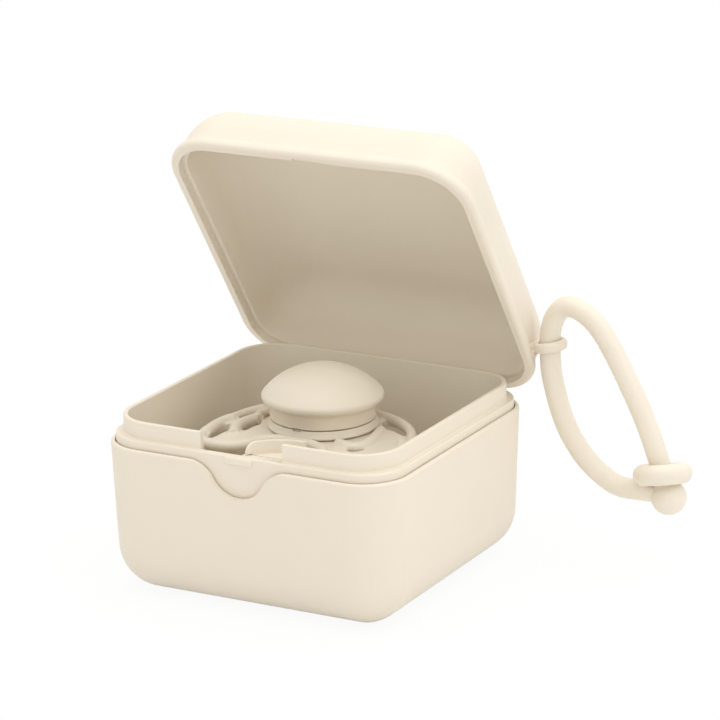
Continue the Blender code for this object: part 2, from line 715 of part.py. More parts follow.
def make_lift_tray(material):
    plate_rings = [tub_ring(tray_inset(), TRAY_Z), tub_ring(tray_inset(), TRAY_Z + TRAY_PLATE)]
    tray = loft("lift_tray", plate_rings)
    cup_height = CUP_TOP_Z - TRAY_Z - BITE
    join(tray, cylinder("cup_wall", CUP_RADIUS, cup_height, CUP_STEPS,
                        (0.0, PACIFIER_BEHIND_CENTRE, CUP_TOP_Z - cup_height / 2)))
    join(tray, block("tray_strip", (STRIP_LEFT, strip_front_y(), TRAY_Z + BITE),
                     (STRIP_RIGHT, strip_back_y(), LEDGE_Z - BITE)))

    wall_y = -HALF_Y + liner_inner_inset(LEDGE_Z) + GAP
    start_deg = 180.0 - math.degrees(math.asin((wall_y - tab_arc_y()) / TAB_ARC_RADIUS))
    outline = arc_points(TAB_ARC_X, tab_arc_y(), TAB_ARC_RADIUS, start_deg, 90.0, TAB_STEPS)
    outline += [(STRIP_RIGHT + BITE, outline[-1][1]), (STRIP_RIGHT + BITE, wall_y)]
    join(tray, prism("tray_shelf", outline, LEDGE_Z - SHELF_THICKNESS, LEDGE_Z))

    tab = prism("tray_tab", bent_bar_outline(TAB_ARC_X, tab_arc_y(), TAB_ARC_RADIUS, TAB_WALL,
                                             TAB_BACK_END_DEG, tab_front_deg(), TAB_STEPS),
                LEDGE_Z - SHELF_THICKNESS + BITE, LEDGE_Z + TAB_HEIGHT)
    cut(tab, block("tab_ledge_cutter",
                   (-HALF_X, -HALF_Y, LEDGE_Z - SHELF_THICKNESS), (HALF_X, wall_y, LEDGE_Z + GAP)))
    join(tray, tab)

    cut(tray, cylinder("cup_bore", CUP_BORE_RADIUS, CUP_HEIGHT + 2 * OVERRUN, CUP_STEPS,
                       (0.0, PACIFIER_BEHIND_CENTRE, (TRAY_Z + CUP_TOP_Z) / 2)))
    for i in range(VENT_COUNT):
        angle = math.radians(360.0) * (i + 0.5) / VENT_COUNT
        place = (VENT_RING_RADIUS * math.cos(angle), VENT_RING_RADIUS * math.sin(angle),
                 TRAY_Z + TRAY_PLATE / 2)
        cut(tray, cylinder(f"vent_{i}", VENT_RADIUS, TRAY_PLATE + OVERRUN, VENT_STEPS, place))
    finish(tray, material)
    return tray


# Pacifier

def shield_outline():
    """The shield's closed plan outline, smoothed through its shares and mirrored."""
    middle_y = PACIFIER_BEHIND_CENTRE - SHIELD_FRONT_SHIFT
    left = [Vector((x * SHIELD_HALF_WIDTH, y * SHIELD_HALF_DEPTH + middle_y))
            for x, y in SHIELD_OUTLINE_SHARES]
    right = [Vector((-point.x, point.y)) for point in reversed(left[1:-1])]
    return smooth_through(left + right, closed=True, per_span=2)


def drawn_in_outline(outline, distance):
    """The outline moved inward along its own normals."""
    count = len(outline)
    result = []
    for i in range(count):
        along = (outline[(i + 1) % count] - outline[i - 1]).normalized()
        result.append(outline[i] + Vector((along.y, -along.x)) * distance)
    return result


def outline_ring(outline, distance, z):
    return [Vector((point.x, point.y, z)) for point in drawn_in_outline(outline, distance)]


def make_shield(material):
    outline = shield_outline()
    border_z = SHIELD_TOP_Z + SHIELD_BORDER_RISE
    edge = SHIELD_EDGE_ROUNDING
    rings = [
        outline_ring(outline, edge, SHIELD_Z),
        outline_ring(outline, 0.0, SHIELD_Z + edge),
        outline_ring(outline, 0.0, border_z - edge),
        outline_ring(outline, edge, border_z),
        outline_ring(outline, SHIELD_BORDER_WIDTH - edge, border_z),
        outline_ring(outline, SHIELD_BORDER_WIDTH, SHIELD_TOP_Z),
    ]
    plate = loft("pacifier_shield", rings)
    middle_z = (SHIELD_Z + SHIELD_TOP_Z) / 2
    cut_height = SHIELD_THICKNESS + 2 * OVERRUN
    cut_low_z = middle_z - cut_height
    cut_high_z = middle_z + cut_height
    centre = (0.0, PACIFIER_BEHIND_CENTRE)
    loop_width = AIR_HOLE_WIDTH + 2 * LOOP_WALL
    slot_radius = AIR_HOLE_RADIUS + loop_width / 2 + SLOT_OUTSIDE_LOOP + SLOT_WIDTH / 2
    for facing_deg, mirror in ((0.0, 1), (180.0, -1)):
        sweep = sorted((facing_deg + mirror * AIR_HOLE_FROM_DEG, facing_deg + mirror * AIR_HOLE_TO_DEG))
        loop = bent_bar_outline(*centre, AIR_HOLE_RADIUS, loop_width, *sweep, TAB_STEPS, ARC_STEPS)
        join(plate, prism(f"air_loop_{facing_deg:.0f}", loop, middle_z, SHIELD_TOP_Z + LOOP_RISE))
        hole = bent_bar_outline(*centre, AIR_HOLE_RADIUS, AIR_HOLE_WIDTH, *sweep, TAB_STEPS, ARC_STEPS)
        cut(plate, prism(f"air_hole_{facing_deg:.0f}", hole, cut_low_z, cut_high_z))
        for middle_deg in SLOT_MIDDLES_DEG:
            centre_deg = facing_deg + mirror * middle_deg
            slot = bent_bar_outline(*centre, slot_radius, SLOT_WIDTH,
                                    centre_deg - SLOT_HALF_SWEEP_DEG,
                                    centre_deg + SLOT_HALF_SWEEP_DEG, ARC_STEPS, ARC_STEPS)
            cut(plate, prism(f"slot_{centre_deg:.0f}", slot, cut_low_z, cut_high_z))
    cut(plate, cylinder("shield_bore", SHIELD_HOLE_RADIUS, cut_height, PACIFIER_STEPS,
                        (*centre, middle_z)))
    cut(plate, cylinder("base_ring_seat", BASE_RING_FOOT_RADIUS + GAP, 2 * OVERRUN, PACIFIER_STEPS,
                        (*centre, SHIELD_TOP_Z + OVERRUN)))
    bend_wings(plate)
    finish(plate, material)
    return plate


def bend_wings(plate):
    """Bake the cuts, then let the two wings drop away from the flat middle."""
    bpy.context.view_layer.update()
    evaluated = plate.evaluated_get(bpy.context.evaluated_depsgraph_get())
    mesh = bpy.data.meshes.new_from_object(evaluated)
    bm = bmesh.new()
    bm.from_mesh(mesh)
    span = SHIELD_HALF_WIDTH - SHIELD_FLAT_RADIUS
    for side in (-1, 1):
        for step in range(SHIELD_BEND_CUTS):
            x = side * (SHIELD_FLAT_RADIUS + span * step / SHIELD_BEND_CUTS)
            bmesh.ops.bisect_plane(bm, geom=bm.verts[:] + bm.edges[:] + bm.faces[:],
                                   plane_co=(x, 0, 0), plane_no=(1, 0, 0))
    bmesh.ops.triangulate(bm, faces=bm.faces)
    for vert in bm.verts:
        beyond = max(abs(vert.co.x) - SHIELD_FLAT_RADIUS, 0.0) / span
        vert.co.z -= SHIELD_WING_DROP * beyond ** 2
    bm.to_mesh(mesh)
    bm.free()
    plate.modifiers.clear()
    plate.data = mesh


def make_base_ring(material):
    recess_radius = NIPPLE_FLANGE_RADIUS + GAP
    recess_top_z = BASE_RING_Z + NIPPLE_FLANGE_HEIGHT + GAP
    profile = [
        (0.0, recess_top_z),
        (recess_radius, recess_top_z),
        (recess_radius, BASE_RING_Z),
        (BASE_RING_FOOT_RADIUS, BASE_RING_Z),
        (BASE_RING_TOP_RADIUS, BASE_RING_TOP_Z),
        (SPIGOT_RADIUS, BASE_RING_TOP_Z),
        (SPIGOT_RADIUS, BASE_RING_TOP_Z + SPIGOT_HEIGHT),
        (0.0, BASE_RING_TOP_Z + SPIGOT_HEIGHT),
    ]
    ring = turned("pacifier_base_ring", profile, PACIFIER_STEPS, PACIFIER_BEHIND_CENTRE)
    finish(ring, material)
    return ring


def make_knob(material):
    socket_radius = SPIGOT_RADIUS + GAP
    socket_top_z = BASE_RING_TOP_Z + SPIGOT_HEIGHT + GAP
    half_brim = KNOB_BRIM_THICKNESS / 2
    brim_middle_z = KNOB_BRIM_Z + half_brim
    profile = [(0.0, socket_top_z), (socket_radius, socket_top_z), (socket_radius, KNOB_Z),
               (KNOB_NECK_RADIUS, KNOB_Z), (KNOB_NECK_RADIUS, KNOB_BRIM_Z)]
    profile += arc_points(KNOB_BRIM_RADIUS - half_brim, brim_middle_z, half_brim, -90.0,
                          DOME_FROM_DEG, BRIM_STEPS)[1:]
    edge_radius, edge_z = profile[-1]
    dome_radius = (edge_radius ** 2 + KNOB_DOME_HEIGHT ** 2) / (2 * KNOB_DOME_HEIGHT)
    sweep = math.asin(edge_radius / dome_radius)
    top_z = edge_z + KNOB_DOME_HEIGHT
    for step in range(1, DOME_STEPS):
        angle = sweep * (1 - step / DOME_STEPS)
        drop = dome_radius * (1 - math.cos(angle))
        profile.append((dome_radius * math.sin(angle), top_z - drop))
    profile.append((0.0, top_z))
    knob = turned("pacifier_knob", profile, PACIFIER_STEPS, PACIFIER_BEHIND_CENTRE)
    finish(knob, material)
    return knob


def make_nipple(material):
    top_z = BASE_RING_Z + NIPPLE_FLANGE_HEIGHT
    tip_z = SHIELD_Z - NIPPLE_LENGTH
    collar_radius = SHIELD_HOLE_RADIUS - GAP
    profile = [
        (0.0, top_z),
        (NIPPLE_FLANGE_RADIUS, top_z),
        (NIPPLE_FLANGE_RADIUS, BASE_RING_Z),
        (collar_radius, BASE_RING_Z),
        (collar_radius, SHIELD_Z - GAP),
    ]
    profile += [(NIPPLE_NECK_RADIUS, SHIELD_Z - share * NIPPLE_LENGTH)
                for share in NIPPLE_NECK_SHARES]
    profile += [(radius_share * NIPPLE_BULB_RADIUS, SHIELD_Z - depth_share * NIPPLE_LENGTH)
                for radius_share, depth_share in NIPPLE_BULB_SHARES]
    profile.append((0.0, tip_z))
    nipple = turned("pacifier_nipple", profile, NIPPLE_STEPS, PACIFIER_BEHIND_CENTRE)
    finish(nipple, material)
    return nipple


# Strap

def route_point(offset):
    """Place on the strap's route, from its offset to the eyelet's centre."""
    return Vector((EYELET_X + offset[0], STRAP_PLANE_Y, EYELET_Z + offset[1]))


def strap_points():
    route = [route_point(offset) for offset in STRAP_ROUTE]
    return evenly_spaced(smooth_through(route, closed=False, per_span=12), STRAP_SPACING)


def limb_direction():
    """Direction in which the strap comes out of the ball."""
    return (route_point(STRAP_ROUTE[1]) - route_point(STRAP_ROUTE[0])).normalized()


def ball_centre():
    return route_point(STRAP_ROUTE[0]) - limb_direction() * (BALL_DIAMETER / 2 + GAP)


def collar_centre():
    """The collar sits on the ball: the rounding of its bore is GAP clear of the ball's surface."""
    arc_radius = COLLAR_BORE_RADIUS + COLLAR_ROUNDING
    reach = BALL_DIAMETER / 2 + GAP + COLLAR_ROUNDING
    seat = math.sqrt(reach ** 2 - arc_radius ** 2)
    return ball_centre() + limb_direction() * (seat + COLLAR_HEIGHT / 2 - COLLAR_ROUNDING)


def make_strap(material, swing):
    curve = bpy.data.curves.new("strap_cord", "CURVE")
    curve.dimensions = "3D"
    curve.bevel_depth = STRAP_RADIUS
    curve.bevel_resolution = 3
    curve.use_fill_caps = True
    points = strap_points()
    spline = curve.splines.new("POLY")
    spline.points.add(len(points) - 1)
    for slot, point in zip(spline.points, points):
        slot.co = (*point, 1.0)
    cord = add_object("strap_cord", curve)
    finish(cord, material)
    swing_with(cord, swing)


def make_strap_ball(material, swing):
    radius = BALL_DIAMETER / 2
    bm = bmesh.new()
    bmesh.ops.create_uvsphere(bm, u_segments=20, v_segments=12, radius=radius)
    ball = object_from_bmesh("strap_ball", bm)
    ball.location = ball_centre()
    finish(ball, material)
    swing_with(ball, swing)


def make_strap_collar(material, swing):
    """Thick soft ring, with a stub that carries on the strap's other end."""
    arc_z = COLLAR_HEIGHT / 2 - COLLAR_ROUNDING
    inner = COLLAR_BORE_RADIUS + COLLAR_ROUNDING
    outer = COLLAR_DIAMETER / 2 - COLLAR_ROUNDING
    profile = arc_points(inner, -arc_z, COLLAR_ROUNDING, -180.0, -90.0, COLLAR_ARC_STEPS)
    profile += arc_points(outer, -arc_z, COLLAR_ROUNDING, -90.0, 0.0, COLLAR_ARC_STEPS)
    profile += arc_points(outer, arc_z, COLLAR_ROUNDING, 0.0, 90.0, COLLAR_ARC_STEPS)
    profile += arc_points(inner, arc_z, COLLAR_ROUNDING, 90.0, 180.0, COLLAR_ARC_STEPS)
    collar = turned("strap_collar", profile, COLLAR_STEPS)
    collar.rotation_mode = "QUATERNION"
    collar.rotation_quaternion = Vector((0, 0, 1)).rotation_difference(limb_direction())
    collar.location = collar_centre()
    before, end = strap_points()[-2:]
    onward = (end - before).normalized()
    stub = cylinder("collar_stub", STRAP_RADIUS, COLLAR_STUB_LENGTH, KNUCKLE_STEPS, (0, 0, 0))
    stub.rotation_mode = "QUATERNION"
    stub.rotation_quaternion = Vector((0, 0, 1)).rotation_difference(onward)
    stub.location = end + onward * (GAP + COLLAR_STUB_LENGTH / 2)
    join(collar, stub)
    finish(collar, material)
    swing_with(collar, swing)


def make_swing_empty():
    """Empty on the eyelet's axis, about which the strap swings."""
    swing = add_object("strap_swing_axis", None)
    swing.location = (EYELET_X, STRAP_PLANE_Y, EYELET_Z)
    return swing


def swing_with(obj, swing):
    obj.parent = swing
    obj.matrix_parent_inverse = Matrix.Translation(-Vector(swing.location))


def build():
    clear_scene()
    shell_plastic = make_material("shell_plastic", IVORY, 0.48)
    liner_plastic = make_material("liner_plastic", IVORY, 0.50)
    lid_plastic = make_material("lid_plastic", IVORY_LIGHT, 0.45)
    tray_plastic = make_material("tray_plastic", IVORY, 0.52)
    pacifier_plastic = make_material("pacifier_plastic", IVORY, 0.42)
    nipple_silicone = make_material("nipple_silicone", SILICONE, 0.30)
    strap_silicone = make_material("strap_silicone", SILICONE, 0.45)
    steel = make_material("pin_steel", STEEL, 0.30, metallic=1.0)

    make_outer_shell(shell_plastic)
    make_inner_liner(liner_plastic)
    make_hinge_pin(steel)
    hinge = make_hinge_empty()
    make_lid(lid_plastic, hinge)
    make_lift_tray(tray_plastic)
    make_shield(pacifier_plastic)
    make_base_ring(pacifier_plastic)
    make_knob(pacifier_plastic)
    make_nipple(nipple_silicone)
    swing = make_swing_empty()
    make_strap(strap_silicone, swing)
    make_strap_collar(strap_silicone, swing)
    make_strap_ball(strap_silicone, swing)


build()
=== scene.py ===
# %% [markdown]
# # A pacifier box in ivory plastic
# The object is a small moulded box with a deep lid that tips back on a hinge, a pacifier lying
# inside it, and a soft silicone strap through an eyelet on the lid. Everything has nearly one
# colour, so the picture lives on soft edges, even steps between the parts and gentle light. The
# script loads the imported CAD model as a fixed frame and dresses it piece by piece.

# %% Load the frame
import math

import bmesh
import bpy
from mathutils import Matrix, Vector


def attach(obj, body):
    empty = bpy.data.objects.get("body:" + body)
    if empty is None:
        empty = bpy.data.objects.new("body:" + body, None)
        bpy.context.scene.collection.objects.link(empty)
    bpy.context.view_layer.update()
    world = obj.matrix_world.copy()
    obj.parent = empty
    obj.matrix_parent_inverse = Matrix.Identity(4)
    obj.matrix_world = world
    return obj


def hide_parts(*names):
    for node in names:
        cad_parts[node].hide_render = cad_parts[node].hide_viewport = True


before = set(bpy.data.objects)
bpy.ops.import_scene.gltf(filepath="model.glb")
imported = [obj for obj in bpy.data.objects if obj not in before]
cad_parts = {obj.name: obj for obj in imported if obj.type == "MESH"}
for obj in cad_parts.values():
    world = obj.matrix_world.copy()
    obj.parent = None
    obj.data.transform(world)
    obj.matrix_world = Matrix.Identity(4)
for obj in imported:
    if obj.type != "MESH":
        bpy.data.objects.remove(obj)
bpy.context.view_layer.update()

# %% [markdown]
# ## The camera
# A long lens from the front right, a little above the box, as a product photographer would set it.
# The view is built from an azimuth, an elevation, a small roll and a distance, which is easier to
# read and to adjust than a matrix.

# %% Camera
CAMERA_AZIMUTH_DEG = 28.859
CAMERA_ELEVATION_DEG = 16.882
CAMERA_ROLL_DEG = -1.0466
CAMERA_DISTANCE = 0.92445
CAMERA_AIM = Vector((0.00473, 0.01487, 0.05312))
LENS_MM = 177.15
SENSOR_MM = 36.0
CLIP_START = 0.01


def new_object(name, data):
    """An object of some data, placed in the scene."""
    obj = bpy.data.objects.new(name, data)
    bpy.context.scene.collection.objects.link(obj)
    return obj


def aim(obj, target, distance, azimuth_deg, elevation_deg, roll_deg=0.0):
    """Stand an object off from a target, in a direction seen from there, and point it back."""
    azimuth, elevation, roll = (math.radians(a) for a in (azimuth_deg, elevation_deg, roll_deg))
    right = Vector((math.cos(azimuth), math.sin(azimuth), 0.0))
    back = Vector((math.sin(azimuth) * math.cos(elevation),
                   -math.cos(azimuth) * math.cos(elevation), math.sin(elevation)))
    up = back.cross(right)
    rolled_right = right * math.cos(roll) + up * math.sin(roll)
    rolled_up = up * math.cos(roll) - right * math.sin(roll)
    turn = Matrix((rolled_right, rolled_up, back)).transposed().to_4x4()
    obj.matrix_world = Matrix.Translation(target + back * distance) @ turn


camera_data = bpy.data.cameras.new("camera")
camera_data.lens = LENS_MM
camera_data.sensor_width = SENSOR_MM
camera_data.clip_start = CLIP_START
camera = new_object("camera", camera_data)
aim(camera, CAMERA_AIM, CAMERA_DISTANCE, CAMERA_AZIMUTH_DEG, CAMERA_ELEVATION_DEG, CAMERA_ROLL_DEG)
bpy.context.scene.camera = camera
print("camera at", [round(v, 4) for v in camera.matrix_world.translation])

# %% [markdown]
# ## Finishing helpers
# Each piece ends the same way: it becomes an object at the origin, gets smooth shading with crisp
# edges, a small rounding on the edges that the modelling left sharp, its material, the body that it
# rides on and the CAD nodes that it stands for. One function keeps that in one place.

# %% Finishing a piece
SHARP_DEG = 35.0
SOFT_EDGE_SEGMENTS = 3


def object_from_bmesh(name, bm):
    """Make an object at the origin, with its normals pointing out."""
    bmesh.ops.recalc_face_normals(bm, faces=bm.faces)
    mesh = bpy.data.meshes.new(name)
    bm.to_mesh(mesh)
    bm.free()
    return new_object(name, mesh)


def evaluated_mesh(obj):
    """A new mesh of an object, as its modifiers or its bevel make it."""
    bpy.context.view_layer.update()
    return bpy.data.meshes.new_from_object(obj.evaluated_get(bpy.context.evaluated_depsgraph_get()))


def bake_modifiers(obj):
    """Replace an object's mesh by what its modifiers make of it."""
    mesh = evaluated_mesh(obj)
    mesh.name = obj.name
    obj.modifiers.clear()
    obj.data = mesh


def run_boolean(target, tool, operation):
    """Combine a piece with a tool, and remove the tool."""
    modifier = target.modifiers.new("combine", "BOOLEAN")
    modifier.object = tool
    modifier.operation = operation
    modifier.solver = "EXACT"
    bake_modifiers(target)
    bpy.data.objects.remove(tool, do_unlink=True)


def cut(target, tool):
    run_boolean(target, tool, "DIFFERENCE")


def join(target, tool):
    run_boolean(target, tool, "UNION")


def round_edges(obj, width):
    """Soften every sharp edge, as a mould's edges are."""
    bevel = obj.modifiers.new("soft_edges", "BEVEL")
    bevel.width = width
    bevel.segments = SOFT_EDGE_SEGMENTS
    bevel.limit_method = "ANGLE"
    bevel.angle_limit = math.radians(SHARP_DEG)
    bevel.miter_outer = "MITER_ARC"


def dress(obj, material, body, nodes=()):
    """Give a finished piece its shading, material, body and CAD nodes."""
    obj.data.materials.clear()
    obj.data.materials.append(material)
    if obj.type == "MESH":
        obj.data.shade_smooth()
        obj.data.set_sharp_from_angle(angle=math.radians(SHARP_DEG))
    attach(obj, body)
    if nodes:
        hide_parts(*nodes)
    print(f"{obj.name}: {len(obj.data.polygons) if obj.type == 'MESH' else 0} faces on {body}")


# %% [markdown]
# ## Ivory plastic and silicone
# The box is matt moulded plastic: a very fine spark-eroded grain, a roughness that wanders a little
# where the mould was polished unevenly, and a colour that is never perfectly even. Silicone is
# smoother and softer, with a faint bloom of dust. Both share one node group for that surface
# variation, with its own values in each material.

# %% Surface variation group
GROUP_SOCKETS = {
    "INPUT": [("Colour", "Color"), ("Shade Colour", "Color"), ("Mottle Amount", "Float"),
              ("Mottle Scale", "Float"), ("Grain Scale", "Float"), ("Roughness", "Float"),
              ("Roughness Swing", "Float")],
    "OUTPUT": [("Colour", "Color"), ("Roughness", "Float"), ("Height", "Float")],
}
MOTTLE_DETAIL = 4.0
MOTTLE_ROUGHNESS = 0.6
MOTTLE_FROM = 0.35
MOTTLE_TO = 0.68
GRAIN_DETAIL = 2.0
MIX_COLOUR_A, MIX_COLOUR_B, MIX_COLOUR_RESULT = 6, 7, 2


def set_inputs(node, **values):
    """Set a node's inputs by name, with underscores where a name has spaces."""
    for name, value in values.items():
        node.inputs[name.replace("_", " ")].default_value = value


def math_node(tree, operation, *values):
    """Result of a Math node whose inputs are other nodes' outputs or plain numbers."""
    node = tree.nodes.new("ShaderNodeMath")
    node.operation = operation
    for place, value in zip(node.inputs, values):
        if isinstance(value, float):
            place.default_value = value
        else:
            tree.links.new(value, place)
    return node.outputs["Value"]


def noise(group, place, scale, detail):
    """Noise texture at a place, with its scale from a socket."""
    node = group.nodes.new("ShaderNodeTexNoise")
    set_inputs(node, Detail=detail)
    group.links.new(place, node.inputs["Vector"])
    group.links.new(scale, node.inputs["Scale"])
    return node


def build_surface_group():
    """Node group: mottled colour, wandering roughness and a fine moulded grain as height."""
    group = bpy.data.node_groups.new("moulded_surface", "ShaderNodeTree")
    for direction, sockets in GROUP_SOCKETS.items():
        for name, kind in sockets:
            group.interface.new_socket(name=name, in_out=direction, socket_type="NodeSocket" + kind)
    nodes, links = group.nodes, group.links
    source = nodes.new("NodeGroupInput")
    result = nodes.new("NodeGroupOutput")
    place = nodes.new("ShaderNodeTexCoord").outputs["Object"]

    clouds = noise(group, place, source.outputs["Mottle Scale"], MOTTLE_DETAIL)
    set_inputs(clouds, Roughness=MOTTLE_ROUGHNESS)
    spread = nodes.new("ShaderNodeMapRange")
    set_inputs(spread, From_Min=MOTTLE_FROM, From_Max=MOTTLE_TO)
    links.new(clouds.outputs["Fac"], spread.inputs["Value"])
    mottle = spread.outputs["Result"]

    tint = nodes.new("ShaderNodeMix")
    tint.data_type = "RGBA"
    weakened = math_node(group, "MULTIPLY", mottle, source.outputs["Mottle Amount"])
    links.new(weakened, tint.inputs["Factor"])
    links.new(source.outputs["Colour"], tint.inputs[MIX_COLOUR_A])
    links.new(source.outputs["Shade Colour"], tint.inputs[MIX_COLOUR_B])
    links.new(tint.outputs[MIX_COLOUR_RESULT], result.inputs["Colour"])

    swung = math_node(group, "MULTIPLY_ADD", mottle, source.outputs["Roughness Swing"],
                      source.outputs["Roughness"])
    links.new(swung, result.inputs["Roughness"])
    grain = noise(group, place, source.outputs["Grain Scale"], GRAIN_DETAIL)
    links.new(grain.outputs["Fac"], result.inputs["Height"])
    return group


surface_group = build_surface_group()
print("surface group sockets:", len(surface_group.interface.items_tree))

# %% Materials
MOTTLE_AMOUNT = 0.35
BUMP_STRENGTH = 0.25
COAT_ROUGHNESS = 0.35
BOX_GRAIN_SCALE = 2600.0
BOX_GRAIN_DEPTH = 0.00005
IVORY = (0.800, 0.727, 0.607)
IVORY_SHADE = (0.780, 0.707, 0.587)
STRAP_CREAM = (0.820, 0.752, 0.630)
STRAP_SHADE = (0.785, 0.715, 0.595)


def moulded_material(name, colour, shade, roughness, grain_scale, grain_depth, mottle_scale=55.0,
                     swing=0.08, coat=0.0, metallic=0.0):
    """A Principled material fed by the surface group, with a bump from its grain."""
    material = bpy.data.materials.new(name)
    material.use_nodes = True
    nodes, links = material.node_tree.nodes, material.node_tree.links
    shader = nodes["Principled BSDF"]
    surface = nodes.new("ShaderNodeGroup")
    surface.node_tree = surface_group
    set_inputs(surface, Colour=(*colour, 1.0), Shade_Colour=(*shade, 1.0), Mottle_Amount=MOTTLE_AMOUNT,
               Mottle_Scale=mottle_scale, Grain_Scale=grain_scale, Roughness=roughness,
               Roughness_Swing=swing)
    bump = nodes.new("ShaderNodeBump")
    set_inputs(bump, Strength=BUMP_STRENGTH, Distance=grain_depth)
    links.new(surface.outputs["Colour"], shader.inputs["Base Color"])
    links.new(surface.outputs["Roughness"], shader.inputs["Roughness"])
    links.new(surface.outputs["Height"], bump.inputs["Height"])
    links.new(bump.outputs["Normal"], shader.inputs["Normal"])
    set_inputs(shader, Metallic=metallic, Coat_Weight=coat, Coat_Roughness=COAT_ROUGHNESS)
    return material


shell_plastic, liner_plastic, lid_plastic, tray_plastic = (
    moulded_material(name, IVORY, IVORY_SHADE, roughness, BOX_GRAIN_SCALE, BOX_GRAIN_DEPTH)
    for name, roughness in (("shell_plastic", 0.46), ("liner_plastic", 0.50), ("lid_plastic", 0.44),
                            ("tray_plastic", 0.52)))
pacifier_plastic = moulded_material("pacifier_plastic", IVORY, IVORY_SHADE, 0.42, 3200.0, 0.00003,
                                    mottle_scale=90.0)
strap_silicone = moulded_material("strap_silicone", STRAP_CREAM, STRAP_SHADE, 0.42, 3000.0, 0.00003,
                                  mottle_scale=110.0, swing=0.12)
nipple_silicone = moulded_material("nipple_silicone", STRAP_CREAM, STRAP_SHADE, 0.28, 3000.0,
                                   0.00002, mottle_scale=80.0, coat=0.2)
pin_steel = moulded_material("pin_steel", (0.62, 0.62, 0.63), (0.55, 0.55, 0.56), 0.28, 5000.0,
                             0.00002, metallic=1.0)
print("materials:", len(bpy.data.materials))

# %% [markdown]
# ## The strap
# The strap is a short silicone band, round in section, that was moulded in one piece with the ball
# and the ring at its ends. It stands out beside the box because it is stiff and snug in the lid's
# eyelet. Its route is a list of points in one upright plane, measured from the eyelet's middle and
# smoothed into a curve, so the bevel of a curve gives the round section. The photograph shows it
# from end to end.

# %% Strap
STRAP_DIAMETER = 0.0055
EYELET_CENTRE = Vector((0.0479, 0.0396, 0.0560))
STRAP_ROUTE = [
    (0.03252, -0.03213), (0.03118, -0.02763), (0.02764, -0.01807), (0.02303, -0.00866),
    (0.01720, 0.00196), (0.01221, 0.00832), (0.00567, 0.01150), (0.00162, 0.00863),
    (-0.00003, 0.00333), (0.0, 0.0), (0.00002, -0.00462), (0.00081, -0.00999), (0.00410, -0.02086),
    (0.00968, -0.02923), (0.01499, -0.03362), (0.01957, -0.03595), (0.02349, -0.03615),
]
STRAP_STEPS = 8
STRAP_EVENING_ROUNDS = 12


def smooth_through(points, closed, per_span):
    """Catmull-Rom curve through points."""
    count = len(points)
    result = []
    for i in range(count if closed else count - 1):
        if closed:
            p0, p1, p2, p3 = (points[(i + k) % count] for k in (-1, 0, 1, 2))
        else:
            p0, p1, p2, p3 = (points[min(max(i + k, 0), count - 1)] for k in (-1, 0, 1, 2))
        for step in range(per_span):
            t = step / per_span
            result.append(0.5 * (2 * p1 + (p2 - p0) * t
                                 + (2 * p0 - 5 * p1 + 4 * p2 - p3) * t ** 2
                                 + (3 * p1 - p0 - 3 * p2 + p3) * t ** 3))
    if not closed:
        result.append(points[-1].copy())
    return result


def relaxed(points, rounds):
    """Even out the small changes of bend that the listed points leave."""
    for _ in range(rounds):
        middle = [(a + 2 * b + c) / 4 for a, b, c in zip(points, points[1:], points[2:])]
        points = [points[0]] + middle + [points[-1]]
    return points


def tube_curve(name, points, radius, closed=False, resolution=6):
    """Curve object with a round section through points."""
    data = bpy.data.curves.new(name, "CURVE")
    data.dimensions = "3D"
    data.bevel_depth = radius
    data.bevel_resolution = resolution
    data.use_fill_caps = not closed
    spline = data.splines.new("POLY")
    spline.points.add(len(points) - 1)
    for target, point in zip(spline.points, points):
        target.co = (*point, 1.0)
    spline.use_cyclic_u = closed
    return new_object(name, data)


route = [EYELET_CENTRE + Vector((x, 0.0, z)) for x, z in STRAP_ROUTE]
strap_line = relaxed(smooth_through(route, closed=False, per_span=STRAP_STEPS),
                     STRAP_EVENING_ROUNDS)
strap = tube_curve("soft_strap", strap_line, STRAP_DIAMETER / 2)

# %% [markdown]
# ## The ball and the collar
# The ball is a plain sphere with a short throat that flares into the strap. The collar is a thick
# soft ring, moulded onto the strap's other end, and the strap comes down through it into the ball.
# A profile turned once round its axis gives the ring, which sits a little askew. A short stub carries
# the strap on into it, and a fine voxel skin, smoothed a little, melts ring and stub into one piece.

# %% Ball and collar
BALL_DIAMETER = 0.0093
COLLAR_DIAMETER = 0.0154
COLLAR_HEIGHT = 0.0054
COLLAR_ROUNDING = 0.0025
COLLAR_LEAN_DEG = 3.0
COLLAR_BACK_SHARE = 0.25
COLLAR_ABOVE_SEAT = 0.0010
COLLAR_BACK_HEADING_DEG = 28.9
COLLAR_STUB_LENGTH = 0.0070
COLLAR_STUB_OVERLAP = 0.0012
COLLAR_VOXEL = 0.00024
SEAT_GAP = 0.0003
BORE_CLEARANCE = 0.00015
THROAT_RADIUS = 0.0033
THROAT_FLARE = [(0.00302, 0.0003), (0.00285, 0.0007), (0.00277, 0.0012), (0.00270, 0.0020), (0.0, 0.0020)]
STUB_STEPS = 40
BALL_STEPS = 48
COLLAR_STEPS = 64
COLLAR_MELT_ROUNDS = 8

limb = (route[1] - route[0]).normalized()
ball_middle = route[0] - limb * (BALL_DIAMETER / 2 + SEAT_GAP)


def along_axis(bm, direction, place):
    """Turn a bmesh that was made about +Z to a direction and move it to its place."""
    turn_to = Vector((0, 0, 1)).rotation_difference(direction).to_matrix()
    bmesh.ops.rotate(bm, cent=(0, 0, 0), matrix=turn_to, verts=bm.verts)
    bmesh.ops.translate(bm, vec=place, verts=bm.verts)


